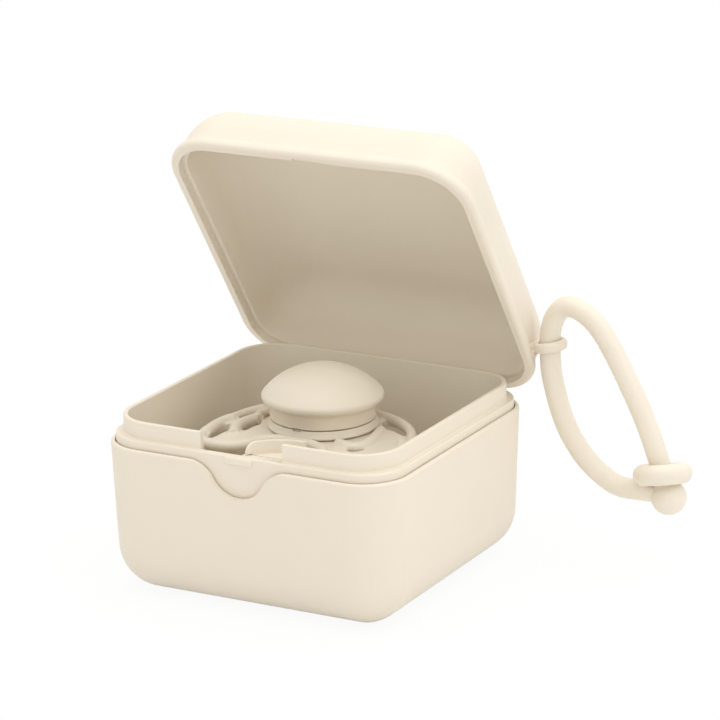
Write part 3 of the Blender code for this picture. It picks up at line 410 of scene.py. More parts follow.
def spin_profile(profile, steps, closed=False):
    """Turn a chain of (radius, height) points once round Z into a closed bmesh."""
    bm = bmesh.new()
    chain = [bm.verts.new((radius, 0.0, height)) for radius, height in profile]
    edges = [bm.edges.new(pair) for pair in zip(chain, chain[1:])]
    if closed:
        edges.append(bm.edges.new((chain[-1], chain[0])))
    bmesh.ops.spin(bm, geom=chain + edges, cent=(0, 0, 0), axis=(0, 0, 1),
                   angle=math.radians(360.0), steps=steps, use_merge=True)
    bmesh.ops.remove_doubles(bm, verts=bm.verts, dist=1e-6)
    return bm


def arc(centre_a, centre_b, radius, from_deg, to_deg, steps):
    """Points of an arc as pairs, from one angle to another."""
    angles = [math.radians(from_deg + (to_deg - from_deg) * i / steps) for i in range(steps + 1)]
    return [(centre_a + radius * math.cos(a), centre_b + radius * math.sin(a)) for a in angles]


def join_into(obj, other):
    """Add another object's mesh to this one, for a voxel skin to make one piece of them."""
    both = bmesh.new()
    both.from_mesh(obj.data)
    both.from_mesh(other.data)
    both.to_mesh(obj.data)
    both.free()
    bpy.data.objects.remove(other, do_unlink=True)


def melted(obj, voxel, rounds):
    """Wrap a roughly joined piece in a fine voxel skin and smooth it, so that its parts flow together."""
    skin = obj.modifiers.new("skin", "REMESH")
    skin.mode = "VOXEL"
    skin.voxel_size = voxel
    melt = obj.modifiers.new("melt", "SMOOTH")
    melt.factor = 0.5
    melt.iterations = rounds
    bake_modifiers(obj)


ball_radius = BALL_DIAMETER / 2
throat_deg = math.degrees(math.acos(THROAT_RADIUS / ball_radius))
ball_profile = arc(0.0, 0.0, ball_radius, -90.0, throat_deg, 26)
ball_profile[0] = (0.0, -ball_radius)
throat_z = ball_profile[-1][1]
strap_radius = STRAP_DIAMETER / 2
ball_profile += [(radius, throat_z + rise) for radius, rise in THROAT_FLARE]
ball_mesh = spin_profile(ball_profile, BALL_STEPS)
along_axis(ball_mesh, limb, ball_middle)
strap_ball = object_from_bmesh("strap_end_ball", ball_mesh)

bore_radius = strap_radius + BORE_CLEARANCE
seat = math.sqrt((ball_radius + SEAT_GAP + COLLAR_ROUNDING) ** 2 - (bore_radius + COLLAR_ROUNDING) ** 2)
half_height = COLLAR_HEIGHT / 2
arc_z = half_height - COLLAR_ROUNDING
collar_middle = ball_middle + limb * (seat + arc_z + COLLAR_ABOVE_SEAT)
collar_profile = []
for middle, height, start in ((COLLAR_DIAMETER / 2 - COLLAR_ROUNDING, -arc_z, -90.0),
                              (COLLAR_DIAMETER / 2 - COLLAR_ROUNDING, arc_z, 0.0),
                              (bore_radius + COLLAR_ROUNDING, arc_z, 90.0),
                              (bore_radius + COLLAR_ROUNDING, -arc_z, 180.0)):
    collar_profile += arc(middle, height, COLLAR_ROUNDING, start, start + 90.0, 10)
collar_mesh = spin_profile(collar_profile, COLLAR_STEPS, closed=True)
lean = math.radians(COLLAR_LEAN_DEG)
heading = math.radians(COLLAR_BACK_HEADING_DEG)
collar_up = Vector((-math.sin(lean), 0.0, math.cos(lean)))
collar_back = Vector((-math.sin(heading), math.cos(heading), 0.0))
collar_axis = (collar_up + collar_back * COLLAR_BACK_SHARE).normalized()
along_axis(collar_mesh, collar_axis, collar_middle)
strap_collar = object_from_bmesh("strap_end_collar", collar_mesh)
onward = (strap_line[-1] - strap_line[-2]).normalized()
stub_length = COLLAR_STUB_OVERLAP + SEAT_GAP + COLLAR_STUB_LENGTH
stub_mesh = bmesh.new()
bmesh.ops.create_cone(stub_mesh, cap_ends=True, segments=STUB_STEPS, radius1=strap_radius,
                      radius2=strap_radius, depth=stub_length)
along_axis(stub_mesh, onward, strap_line[-1] + onward * (stub_length / 2 - COLLAR_STUB_OVERLAP))
join_into(strap_collar, object_from_bmesh("collar_stub", stub_mesh))
melted(strap_collar, COLLAR_VOXEL, COLLAR_MELT_ROUNDS)

dress(strap_ball, strap_silicone, "strap", ["strap_ball"])
dress(strap_collar, strap_silicone, "strap", ["strap_collar"])
dress(strap, strap_silicone, "strap", ["strap_cord"])

# %% [markdown]
# ## The box's plan
# Every wall of this box follows the same rounded square, drawn in by some distance. So the pieces
# start from one flat plan with rounded corners, and the plan's border is pulled up, in and down
# along a profile, as a potter pulls a wall. Each border point remembers its corner and the
# direction it faces, which keeps the corners truly round at every step. The tub inside has rounder
# corners than the shell, so a step may also say how much rounder it is.

# %% Pulling a wall along a profile
GAP = 0.0003
BOX_WIDTH = 0.0850
BOX_DEPTH = 0.0835
HALF_X = BOX_WIDTH / 2
HALF_Y = BOX_DEPTH / 2
CORNER_RADIUS = 0.0126
SMALLEST_CORNER = 0.0012
ROUNDER = 0.0016
BITE = 0.0005
OVERRUN = 0.0020
CORNER_STEPS = 22


def start_plan():
    """A flat rounded square, one face, whose points know their corner and their direction."""
    bm = bmesh.new()
    bmesh.ops.create_grid(bm, x_segments=1, y_segments=1, size=1.0)
    reach = max(vert.co.x for vert in bm.verts)
    bmesh.ops.scale(bm, vec=(HALF_X / reach, HALF_Y / reach, 1.0), verts=bm.verts)
    bmesh.ops.bevel(bm, geom=bm.verts[:], offset=CORNER_RADIUS, offset_type="OFFSET",
                    segments=CORNER_STEPS, profile=0.5, affect="VERTICES", material=-1)
    corner = bm.verts.layers.float_vector.new("corner")
    facing = bm.verts.layers.float_vector.new("facing")
    for vert in bm.verts:
        side = Vector((math.copysign(1.0, vert.co.x), math.copysign(1.0, vert.co.y), 0.0))
        centre = Vector((side.x * (HALF_X - CORNER_RADIUS), side.y * (HALF_Y - CORNER_RADIUS), 0.0))
        vert[corner] = side
        vert[facing] = (vert.co - centre).normalized()
    return bm


def set_ring(bm, verts, inset, height, rounder=0.0):
    """Put a ring of points on the plan, drawn in by inset, at a height."""
    corner = bm.verts.layers.float_vector["corner"]
    facing = bm.verts.layers.float_vector["facing"]
    radius = max(CORNER_RADIUS - inset + rounder, SMALLEST_CORNER)
    for vert in verts:
        side, out = vert[corner], vert[facing]
        vert.co = Vector((side.x * (HALF_X - inset - radius) + out.x * radius,
                          side.y * (HALF_Y - inset - radius) + out.y * radius, height))


def pull_wall(profile):
    """Start from the plan's face and pull its border along steps of inset and height, then close it."""
    bm = start_plan()
    set_ring(bm, bm.verts[:], *profile[0])
    for step in profile[1:]:
        border = [edge for edge in bm.edges if edge.is_boundary]
        pulled = bmesh.ops.extrude_edge_only(bm, edges=border)["geom"]
        set_ring(bm, [item for item in pulled if isinstance(item, bmesh.types.BMVert)], *step)
    bmesh.ops.edgeloop_fill(bm, edges=[edge for edge in bm.edges if edge.is_boundary])
    return bm


def quarter(radius, steps):
    """How far a quarter round is drawn in and how far it has risen, from its flat end."""
    angles = [math.radians(90.0) * i / steps for i in range(steps + 1)]
    return [(radius * (1 - math.sin(a)), radius * (1 - math.cos(a))) for a in angles]


def round_steps(radius, steps, inset_at, flat_z, rise=1, inward=1, rounder=0.0):
    """A wall's steps round a quarter bend that leaves a height. rise and inward are 1 or -1."""
    made = []
    for in_by, up_by in quarter(radius, steps):
        z = flat_z + rise * up_by
        made.append((inset_at(z) + inward * in_by, z, rounder))
    return made


def block(name, low, high, rounding=0.0):
    """A cutter or a lug between two corners."""
    bm = bmesh.new()
    bmesh.ops.create_cube(bm, size=1.0)
    bmesh.ops.scale(bm, vec=[b - a for a, b in zip(low, high)], verts=bm.verts)
    bmesh.ops.translate(bm, vec=[(a + b) / 2 for a, b in zip(low, high)], verts=bm.verts)
    if rounding:
        bmesh.ops.bevel(bm, geom=bm.edges[:], offset=rounding, offset_type="OFFSET", segments=5,
                        profile=0.5, affect="EDGES", material=-1)
    return object_from_bmesh(name, bm)


def bar(name, radius, length, steps, centre, axis="Z"):
    """A round bar about its centre, along X or Z."""
    bm = bmesh.new()
    lean = Matrix.Rotation(math.radians(90.0), 4, "Y") if axis == "X" else Matrix.Identity(4)
    bmesh.ops.create_cone(bm, cap_ends=True, segments=steps, radius1=radius, radius2=radius,
                          depth=length, matrix=Matrix.Translation(centre) @ lean)
    return object_from_bmesh(name, bm)


def extruded_outline(name, outline, lift):
    """A flat outline of 3-D points made a face and pushed along a vector."""
    bm = bmesh.new()
    face = bm.faces.new([bm.verts.new(point) for point in outline])
    pushed = bmesh.ops.extrude_face_region(bm, geom=[face])["geom"]
    bmesh.ops.translate(bm, vec=lift,
                        verts=[item for item in pushed if isinstance(item, bmesh.types.BMVert)])
    return object_from_bmesh(name, bm)


# %% [markdown]
# ## The outer shell
# The shell is the box's outside: drafted walls, so that it leaves its mould, a large round at the
# foot and a small one at the top edge. The front wall has a round recess for a fingertip. On the
# real box its wide shoulders sweep into the top edge, so the cutter's outline is three arcs. At the
# back the wall carries two lugs that end in the hinge's knuckles.

# %% Outer shell
SHELL_HEIGHT = 0.0402
SHELL_DRAFT = 0.0016
SHELL_WALL = 0.0011
SHELL_EDGE_RADIUS = 0.0118
SHELL_TOP_ROUNDING = 0.0008
SHELL_TOP_SLOPE = 0.0001
SHELL_SOFT_EDGE = 0.00035
RECESS_RADIUS = 0.00825
RECESS_DEPTH = 0.0087
RECESS_SHOULDER = 0.0084
KNUCKLE_RADIUS = 0.0014
HINGE_BEHIND_WALL = 0.0017
HINGE_BELOW_TOP = 0.0011
LID_KNUCKLE_WIDTH = 0.0234
BASE_KNUCKLE_WIDTH = 0.0100
PIN_BORE_RADIUS = 0.00075
HINGE_Y = HALF_Y + HINGE_BEHIND_WALL
HINGE_Z = SHELL_HEIGHT - HINGE_BELOW_TOP
KNUCKLE_INNER_X = LID_KNUCKLE_WIDTH / 2 + GAP
RECESS_LOWEST_Z = SHELL_HEIGHT - RECESS_DEPTH


def shell_inset(z):
    return SHELL_DRAFT * (1 - z / SHELL_HEIGHT)


shell_profile = round_steps(SHELL_EDGE_RADIUS, 12, shell_inset, 0.0)
shell_profile += reversed(round_steps(SHELL_TOP_ROUNDING, 5, shell_inset, SHELL_HEIGHT, -1))
shell_profile.append((SHELL_WALL, SHELL_HEIGHT - SHELL_TOP_SLOPE))
shell_profile += reversed(round_steps(SHELL_EDGE_RADIUS - SHELL_WALL, 8,
                                      lambda z: shell_inset(z) + SHELL_WALL, SHELL_WALL))
shell = object_from_bmesh("box_shell", pull_wall(shell_profile))

recess_middle_z = RECESS_LOWEST_Z + RECESS_RADIUS
shoulder_z = SHELL_HEIGHT - RECESS_SHOULDER
shoulder_drop = recess_middle_z - shoulder_z
shoulder_x = math.sqrt((RECESS_RADIUS + RECESS_SHOULDER) ** 2 - shoulder_drop ** 2)
lean_deg = math.degrees(math.atan2(shoulder_drop, shoulder_x))
recess_outline = arc(-shoulder_x, shoulder_z, RECESS_SHOULDER, 90.0, lean_deg, 32)
recess_outline += arc(0.0, recess_middle_z, RECESS_RADIUS, 180.0 + lean_deg, 360.0 - lean_deg, 64)[1:-1]
recess_outline += arc(shoulder_x, shoulder_z, RECESS_SHOULDER, 180.0 - lean_deg, 90.0, 32)
recess_outline += [(shoulder_x, SHELL_HEIGHT + OVERRUN), (-shoulder_x, SHELL_HEIGHT + OVERRUN)]
recess_cutter = extruded_outline("recess_cutter",
                                 [(x, -HALF_Y - OVERRUN, z) for x, z in recess_outline],
                                 (0.0, SHELL_DRAFT + 2 * OVERRUN, 0.0))
cut(shell, recess_cutter)
for side in (-1, 1):
    middle_x = side * (KNUCKLE_INNER_X + BASE_KNUCKLE_WIDTH / 2)
    join(shell, bar("knuckle", KNUCKLE_RADIUS, BASE_KNUCKLE_WIDTH, 32,
                    (middle_x, HINGE_Y, HINGE_Z), "X"))
    join(shell, block("hinge_lug",
                      (middle_x - BASE_KNUCKLE_WIDTH / 2, HALF_Y - SHELL_WALL + BITE,
                       HINGE_Z - KNUCKLE_RADIUS),
                      (middle_x + BASE_KNUCKLE_WIDTH / 2, HINGE_Y, HINGE_Z)))
hinge_width = LID_KNUCKLE_WIDTH + 2 * BASE_KNUCKLE_WIDTH + 2 * OVERRUN
cut(shell, bar("pin_bore", PIN_BORE_RADIUS, hinge_width, 24, (0.0, HINGE_Y, HINGE_Z), "X"))
round_edges(shell, SHELL_SOFT_EDGE)
dress(shell, shell_plastic, "base", ["outer_shell"])

# %% [markdown]
# ## The inner liner
# The liner is a second moulding that drops into the shell. Its band shows as a thin step above the
# outer wall and fills the finger recess, its ledge stops the lid's edge, and its upright rim goes
# inside the lid. The rim is cut away in front, and a small nib on the band snaps under the lid.

# %% Inner liner
BAND_INSET = SHELL_WALL + GAP
SKIRT_WALL = 0.0012
LEDGE_RISE = 0.0021
RIM_OUTER_INSET = 0.0028
RIM_TAPER = 0.0004
RIM_WALL = 0.0013
RIM_HEIGHT = 0.0046
RIM_ROUNDING = 0.0004
RIM_FOOT_CHAMFER = 0.0003
LINER_SOFT_EDGE = 0.00028
BAND_ROUNDING = 0.0004
RIM_GAP_WIDTH = 0.0236
GAP_SLOT_DROP = 0.0012
GAP_SLOT_BEHIND_RIM_FACE = 0.0003
LINER_WALL = 0.0016
LINER_DRAFT = 0.0029
LINER_EDGE_RADIUS = 0.0080
FLANGE_THICKNESS = 0.0015
SKIRT_BELOW_RECESS = 0.0020
POST_RADIUS = 0.0030
POST_HEIGHT = 0.0061
POST_SPACING = 0.0480
NIB_WIDTH = 0.0080
NIB_HEIGHT = 0.0020
NIB_PROUD = 0.0005
NIB_BELOW_LEDGE = 0.0002
NIB_ROUNDING = 0.00045
LEDGE_Z = SHELL_HEIGHT + LEDGE_RISE
RIM_TOP_Z = LEDGE_Z + RIM_HEIGHT
RIM_INNER_INSET = RIM_OUTER_INSET + RIM_WALL
LINER_BOTTOM_Z = SHELL_WALL + GAP
LINER_FLOOR_Z = LINER_BOTTOM_Z + LINER_WALL


def liner_inset(z):
    return RIM_INNER_INSET + LINER_DRAFT * (RIM_TOP_Z - z) / (RIM_TOP_Z - LINER_FLOOR_Z)


flange_z = LEDGE_Z - FLANGE_THICKNESS
skirt_z = RECESS_LOWEST_Z - SKIRT_BELOW_RECESS
liner_profile = round_steps(LINER_EDGE_RADIUS, 6, lambda z: liner_inset(z) - LINER_WALL, LINER_BOTTOM_Z,
                            rounder=ROUNDER)
liner_profile += [
    (liner_inset(flange_z) - LINER_WALL, flange_z, ROUNDER),
    (BAND_INSET + SKIRT_WALL, flange_z),
    (shell_inset(skirt_z) + BAND_INSET + SKIRT_WALL, skirt_z),
    (shell_inset(skirt_z) + BAND_INSET, skirt_z),
    (BAND_INSET, SHELL_HEIGHT),
]
liner_profile += reversed(round_steps(BAND_ROUNDING, 5, lambda z: BAND_INSET, LEDGE_Z, -1))
liner_profile.append((RIM_OUTER_INSET - RIM_FOOT_CHAMFER, LEDGE_Z, ROUNDER))
liner_profile.append((RIM_OUTER_INSET, LEDGE_Z + RIM_FOOT_CHAMFER, ROUNDER))
rim_crest_inset = RIM_OUTER_INSET + RIM_TAPER - RIM_ROUNDING
liner_profile += reversed(round_steps(RIM_ROUNDING, 5, lambda z: rim_crest_inset, RIM_TOP_Z, -1,
                                      rounder=ROUNDER))
liner_profile += round_steps(RIM_ROUNDING, 5, lambda z: RIM_INNER_INSET, RIM_TOP_Z, -1, -1, ROUNDER)
liner_profile += reversed(round_steps(LINER_EDGE_RADIUS - LINER_WALL, 10, liner_inset, LINER_FLOOR_Z,
                                      rounder=ROUNDER))
liner = object_from_bmesh("box_liner", pull_wall(liner_profile))

cut(liner, block("rim_gap_cutter",
                 (-RIM_GAP_WIDTH / 2, -HALF_Y + RIM_OUTER_INSET - GAP, LEDGE_Z),
                 (RIM_GAP_WIDTH / 2, -HALF_Y + RIM_INNER_INSET + OVERRUN, RIM_TOP_Z + OVERRUN)))
cut(liner, block("gap_slot_cutter",
                 (-RIM_GAP_WIDTH / 2, -HALF_Y + RIM_OUTER_INSET + GAP_SLOT_BEHIND_RIM_FACE,
                  LEDGE_Z - GAP_SLOT_DROP),
                 (0.0, -HALF_Y + RIM_INNER_INSET + OVERRUN, LEDGE_Z + OVERRUN)))
nib_top_z = LEDGE_Z - NIB_BELOW_LEDGE
join(liner, block("nib", (-NIB_WIDTH / 2, -HALF_Y + BAND_INSET - NIB_PROUD, nib_top_z - NIB_HEIGHT),
                  (NIB_WIDTH / 2, -HALF_Y + BAND_INSET + NIB_PROUD, nib_top_z), NIB_ROUNDING))
for side_x in (-1, 1):
    for side_y in (-1, 1):
        join(liner, bar("post", POST_RADIUS, POST_HEIGHT + GAP, 32,
                        (side_x * POST_SPACING / 2, side_y * POST_SPACING / 2,
                         LINER_FLOOR_Z + (POST_HEIGHT - GAP) / 2)))
round_edges(liner, LINER_SOFT_EDGE)
dress(liner, liner_plastic, "base", ["inner_liner"])

# %% [markdown]
# ## The lid
# The lid is a shallow bowl with a large outer round and a smooth inside. A soft bead runs round its
# edge, to pull it open by. Its mouth has a step: a lip drops outside the box's rim while the inner
# wall meets the ledge. It is made closed, where its sizes line up with the box, and then turned
# open about the hinge.

# %% Lid
LID_HEIGHT = 0.0211
LID_DRAFT = 0.0011
LID_TOP_RADIUS = 0.0137
LID_TOP_THICKNESS = 0.0018
LID_LIP_DEPTH = 0.0021
LID_CREST_ROUNDING = 0.0011
LID_INNER_DRAFT = 0.0009
LID_INNER_RADIUS = 0.0115
LID_BODY_PROUD = 0.0005
BEAD_PROUD = 0.00135
BEAD_FLAT = 0.0005
BEAD_BLEND = 0.0020
BEAD_STEPS = 10
LID_LIP_INSET = BAND_INSET - GAP
LID_MOUTH_ROUNDING = 0.0004
LID_SOFT_EDGE = 0.00022
LID_OPEN_DEG = 55.9
ARM_THICKNESS = 0.0014
PIN_RADIUS = 0.0006
CREST_Z = SHELL_HEIGHT + GAP
LID_TOP_Z = CREST_Z + LID_HEIGHT
LID_STEP_Z = CREST_Z + LID_LIP_DEPTH
LID_MOUTH_INSET = RIM_OUTER_INSET - GAP
HINGE_POINT = Vector((0.0, HINGE_Y, HINGE_Z))
lid_turn = (Matrix.Translation(HINGE_POINT)
            @ Matrix.Rotation(-math.radians(LID_OPEN_DEG), 4, "X")
            @ Matrix.Translation(-HINGE_POINT))

ceiling_z = LID_TOP_Z - LID_TOP_THICKNESS


def lid_body_inset(z):
    return LID_DRAFT * (z - CREST_Z) / LID_HEIGHT - LID_BODY_PROUD


def lid_inner_inset(z):
    return LID_MOUTH_INSET + LID_INNER_DRAFT * (z - LID_STEP_Z) / (ceiling_z - LID_STEP_Z)


lid_profile = round_steps(LID_TOP_RADIUS, 18, lid_body_inset, LID_TOP_Z, -1)
flat_top_z = CREST_Z + LID_CREST_ROUNDING + BEAD_FLAT
for step in range(BEAD_STEPS + 1):
    share = (1 - math.cos(math.radians(180.0) * step / BEAD_STEPS)) / 2
    bead_z = flat_top_z + BEAD_BLEND * (1 - step / BEAD_STEPS)
    lid_profile.append((lid_body_inset(bead_z) * (1 - share) - BEAD_PROUD * share, bead_z))
lid_profile += reversed(round_steps(LID_CREST_ROUNDING, 8, lambda z: -BEAD_PROUD, CREST_Z))
lid_profile += [(LID_LIP_INSET, CREST_Z), (LID_LIP_INSET, LID_STEP_Z)]
lid_profile += round_steps(LID_MOUTH_ROUNDING, 4, lambda z: LID_MOUTH_INSET, LID_STEP_Z, 1, -1)
lid_profile += reversed(round_steps(LID_INNER_RADIUS, 16, lid_inner_inset, ceiling_z, -1))
lid = object_from_bmesh("box_lid", pull_wall(lid_profile))

cut(lid, block("nib_pocket_cutter",
               (-NIB_WIDTH / 2 - GAP, -HALF_Y + BAND_INSET - NIB_PROUD - GAP, CREST_Z - OVERRUN),
               (NIB_WIDTH / 2 + GAP, -HALF_Y + LID_MOUTH_INSET, LID_STEP_Z)))
join(lid, bar("lid_knuckle", KNUCKLE_RADIUS, LID_KNUCKLE_WIDTH, 32, HINGE_POINT, "X"))
arm_back_y = HINGE_Y + PIN_RADIUS
join(lid, block("lid_arm", (-LID_KNUCKLE_WIDTH / 2, arm_back_y - ARM_THICKNESS, HINGE_Z),
                (LID_KNUCKLE_WIDTH / 2, arm_back_y, LID_STEP_Z + ARM_THICKNESS)))
cut(lid, bar("lid_pin_bore", PIN_BORE_RADIUS, hinge_width, 24, HINGE_POINT, "X"))
lid.data.transform(lid_turn)

# %% [markdown]
# ## The eyelet
# A flat ring grows out of the lid's right wall near the hinge. A ring turned from an oval profile,
# on a neck that spreads towards the lid, is melted into one soft form before it joins the lid: a
# drilled block would look machined, not moulded.

# %% Eyelet on the lid
EYELET_WALL = 0.0016
EYELET_HEIGHT = 0.0028
EYELET_TILT_DEG = 10.0
EYELET_STEPS = 24
EYELET_NECK_WIDTH = 0.0052
EYELET_NECK_HEIGHT = 0.0032
EYELET_NECK_DROP = 0.0015
EYELET_NECK_SPREAD = 0.0012
EYELET_VOXEL = 0.00012
EYELET_MELT_ROUNDS = 16
eyelet_bore = STRAP_DIAMETER / 2 + BORE_CLEARANCE
half_ring = EYELET_HEIGHT / 2
neck_half = EYELET_NECK_WIDTH / 2
root_x = HALF_X - LID_LIP_INSET
neck_x = EYELET_CENTRE.x - eyelet_bore - EYELET_WALL / 2
neck_outline = [(root_x, -neck_half - EYELET_NECK_SPREAD), (root_x, neck_half + EYELET_NECK_SPREAD),
                (HALF_X + LID_LIP_INSET, neck_half), (neck_x, neck_half),
                (neck_x, -neck_half), (HALF_X + LID_LIP_INSET, -neck_half)]
neck_low_z = EYELET_CENTRE.z - EYELET_NECK_HEIGHT / 2 - EYELET_NECK_DROP
eyelet = extruded_outline("eyelet", [(x, EYELET_CENTRE.y + y, neck_low_z) for x, y in neck_outline],
                          (0.0, 0.0, EYELET_NECK_HEIGHT))
ring_middle = eyelet_bore + EYELET_WALL / 2
turns = [math.radians(360.0 * i / EYELET_STEPS) for i in range(EYELET_STEPS)]
ring_profile = [(ring_middle + EYELET_WALL / 2 * math.cos(t), half_ring * math.sin(t)) for t in turns]
ring_mesh = spin_profile(ring_profile, 2 * EYELET_STEPS, closed=True)
ring_tilt = Matrix.Rotation(math.radians(-EYELET_TILT_DEG), 3, "Y")
bmesh.ops.rotate(ring_mesh, cent=(0, 0, 0), matrix=ring_tilt, verts=ring_mesh.verts)
bmesh.ops.translate(ring_mesh, vec=EYELET_CENTRE, verts=ring_mesh.verts)
join(eyelet, object_from_bmesh("eyelet_ring", ring_mesh))
melted(eyelet, EYELET_VOXEL, EYELET_MELT_ROUNDS)
join(lid, eyelet)
round_edges(lid, LID_SOFT_EDGE)
dress(lid, lid_plastic, "lid", ["lid_shell"])

# %% [markdown]
# ## The lift tray
# The tray holds the pacifier level, nipple down, above the floor of the tub, so that water drains
# away below it. A strip climbs the front wall to a small shelf at the ledge's height, where a thin
# curved wall gives the finger something to pull. That wall starts as a flat strip with one rounded
# upper corner and is bent along its arc, then thickened.

# %% Lift tray
TRAY_PLATE = 0.0016
TRAY_SIDE_CLEARANCE = 0.0006
CUP_HEIGHT = 0.0264
CUP_BORE_RADIUS = 0.0135
CUP_WALL = 0.0015
VENT_RADIUS = 0.0019
VENT_RING_RADIUS = 0.0230
VENT_COUNT = 12
STRIP_LEFT = 0.0060
STRIP_RIGHT = 0.0190
STRIP_THICKNESS = 0.0012
STRIP_SETBACK = 0.0026
SHELF_THICKNESS = 0.0012
TAB_ARC_X = 0.0130
TAB_ARC_RADIUS = 0.0135
TAB_WALL = 0.0010
TAB_HEIGHT = 0.0032
TAB_CORNER = 0.0029
TAB_BACK_END_DEG = 86.0
TAB_FRONT_CLEARANCE = 0.0008
TAB_BENDS = 24
TRAY_SOFT_EDGE = 0.00025
PACIFIER_BEHIND_CENTRE = 0.0031
TRAY_Z = LINER_FLOOR_Z + POST_HEIGHT + GAP
CUP_TOP_Z = TRAY_Z + CUP_HEIGHT

tray_inset = liner_inset(TRAY_Z) + TRAY_SIDE_CLEARANCE
strip_front_y = -HALF_Y + tray_inset + STRIP_SETBACK
strip_back_y = strip_front_y + STRIP_THICKNESS
tab_arc_y = strip_back_y - TAB_ARC_RADIUS
wall_y = -HALF_Y + liner_inset(LEDGE_Z) + GAP
tray = object_from_bmesh("tray_body", pull_wall([(tray_inset, TRAY_Z, ROUNDER),
                                             (tray_inset, TRAY_Z + TRAY_PLATE, ROUNDER)]))
cup_height = CUP_TOP_Z - TRAY_Z - BITE
join(tray, bar("cup", CUP_BORE_RADIUS + CUP_WALL, cup_height, 72,
               (0.0, PACIFIER_BEHIND_CENTRE, CUP_TOP_Z - cup_height / 2)))
join(tray, block("strip", (STRIP_LEFT, strip_front_y, TRAY_Z + BITE),
                 (STRIP_RIGHT, strip_back_y, LEDGE_Z - BITE)))
shelf_start = 180.0 - math.degrees(math.asin((wall_y - tab_arc_y) / TAB_ARC_RADIUS))
shelf = arc(TAB_ARC_X, tab_arc_y, TAB_ARC_RADIUS, shelf_start, 90.0, 24)
shelf += [(STRIP_RIGHT + BITE, shelf[-1][1]), (STRIP_RIGHT + BITE, wall_y)]
join(tray, extruded_outline("shelf", [(x, y, LEDGE_Z - SHELF_THICKNESS) for x, y in shelf],
                            (0.0, 0.0, SHELF_THICKNESS)))
cut(tray, bar("cup_bore", CUP_BORE_RADIUS, CUP_HEIGHT + 2 * OVERRUN, 72,
              (0.0, PACIFIER_BEHIND_CENTRE, (TRAY_Z + CUP_TOP_Z) / 2)))
for i in range(VENT_COUNT):
    turn_by = math.radians(360.0) * (i + 0.5) / VENT_COUNT
    cut(tray, bar("vent", VENT_RADIUS, TRAY_PLATE + OVERRUN, 24,
                  (VENT_RING_RADIUS * math.cos(turn_by), VENT_RING_RADIUS * math.sin(turn_by),
                   TRAY_Z + TRAY_PLATE / 2)))


def bent_tab():
    """The lift tab: a strip in (arc length, height), one corner rounded, bent and thickened."""
    front_y = -HALF_Y + RIM_OUTER_INSET + TAB_FRONT_CLEARANCE
    front_deg = 180.0 - math.degrees(math.asin((front_y - tab_arc_y) / TAB_ARC_RADIUS))
    per_deg = math.radians(1.0) * TAB_ARC_RADIUS
    end, ledge = ((a - TAB_BACK_END_DEG) * per_deg for a in (front_deg, shelf_start))
    top = LEDGE_Z + TAB_HEIGHT
    low = LEDGE_Z - SHELF_THICKNESS + BITE
    outline = [(0.0, low), (ledge - GAP, low), (ledge - GAP, LEDGE_Z + GAP), (end, LEDGE_Z + GAP)]
    outline += arc(end - TAB_CORNER, top - TAB_CORNER, TAB_CORNER, 0.0, 90.0, 10)
    outline.append((0.0, top))
    bm = bmesh.new()
    bm.faces.new([bm.verts.new((along, 0.0, z)) for along, z in outline])
    for i in range(1, TAB_BENDS):
        bmesh.ops.bisect_plane(bm, geom=bm.verts[:] + bm.edges[:] + bm.faces[:],
                               plane_co=(end * i / TAB_BENDS, 0, 0), plane_no=(1, 0, 0))
    for vert in bm.verts:
        turned = math.radians(TAB_BACK_END_DEG) + vert.co.x / TAB_ARC_RADIUS
        vert.co.x = TAB_ARC_X + TAB_ARC_RADIUS * math.cos(turned)
        vert.co.y = tab_arc_y + TAB_ARC_RADIUS * math.sin(turned)
    tab = object_from_bmesh("tab", bm)
    thicken = tab.modifiers.new("thickness", "SOLIDIFY")
    thicken.thickness = TAB_WALL
    thicken.offset = 0.0
    thicken.use_even_offset = True
    bake_modifiers(tab)
    return tab


join(tray, bent_tab())
round_edges(tray, TRAY_SOFT_EDGE)
dress(tray, tray_plastic, "tray", ["lift_tray"])

# %% [markdown]
# ## The pacifier's shield
# The shield is a plate with a rounded border, a deep nose notch in front, and openings that round,
# raised strands run past, so that air reaches the skin. On the real one every strand melts into the
# plate. So the plate, its openings, the border tube and the strands are first put together roughly,
# then wrapped in a fine voxel skin and smoothed, which gives those soft joints. Left and right are
# listed apart, because the photograph shows the left half from above and the right half edge on. The
# notch has a gentler flank on its right.

# %% Shield
SHIELD_THICKNESS = 0.0020
SHIELD_BORDER_RADIUS = 0.0014
SHIELD_HALF_WIDTH = 0.0286
SHIELD_HALF_DEPTH = 0.0220
SHIELD_FRONT_SHIFT = 0.0056
SHIELD_WING_DROP = 0.0015
SHIELD_FLAT_RADIUS = 0.0160
SHIELD_HOLE_RADIUS = 0.0080
SHIELD_VOXEL = 0.00026
BASE_RING_FOOT_RADIUS = 0.0146
OUTER_STRAND_RADIUS = 0.0019
INNER_STRAND_RADIUS = 0.0016
LINK_STRAND_RADIUS = 0.0013
STRAND_SUNK = 0.0002
SHIELD_MELT_ROUNDS = 4
SHIELD_OUTLINE_SHARES = [
    (0.00, -0.48), (-0.16, -0.50), (-0.27, -0.61), (-0.33, -0.79), (-0.44, -0.94), (-0.58, -1.00),
    (-0.73, -0.95), (-0.89, -0.75), (-0.98, -0.47), (-1.00, -0.15), (-0.98, 0.12), (-0.91, 0.39),
    (-0.80, 0.60), (-0.66, 0.75), (-0.45, 0.90), (-0.21, 0.98), (0.00, 1.00),
]
NOTCH_RIGHT_SHARES = [(0.46, -0.93), (0.38, -0.77), (0.29, -0.60), (0.16, -0.50)]
OUTER_STRAND = [(-0.0259, -0.0171), (-0.0269, -0.0099), (-0.0263, -0.0054), (-0.0251, -0.0036)]
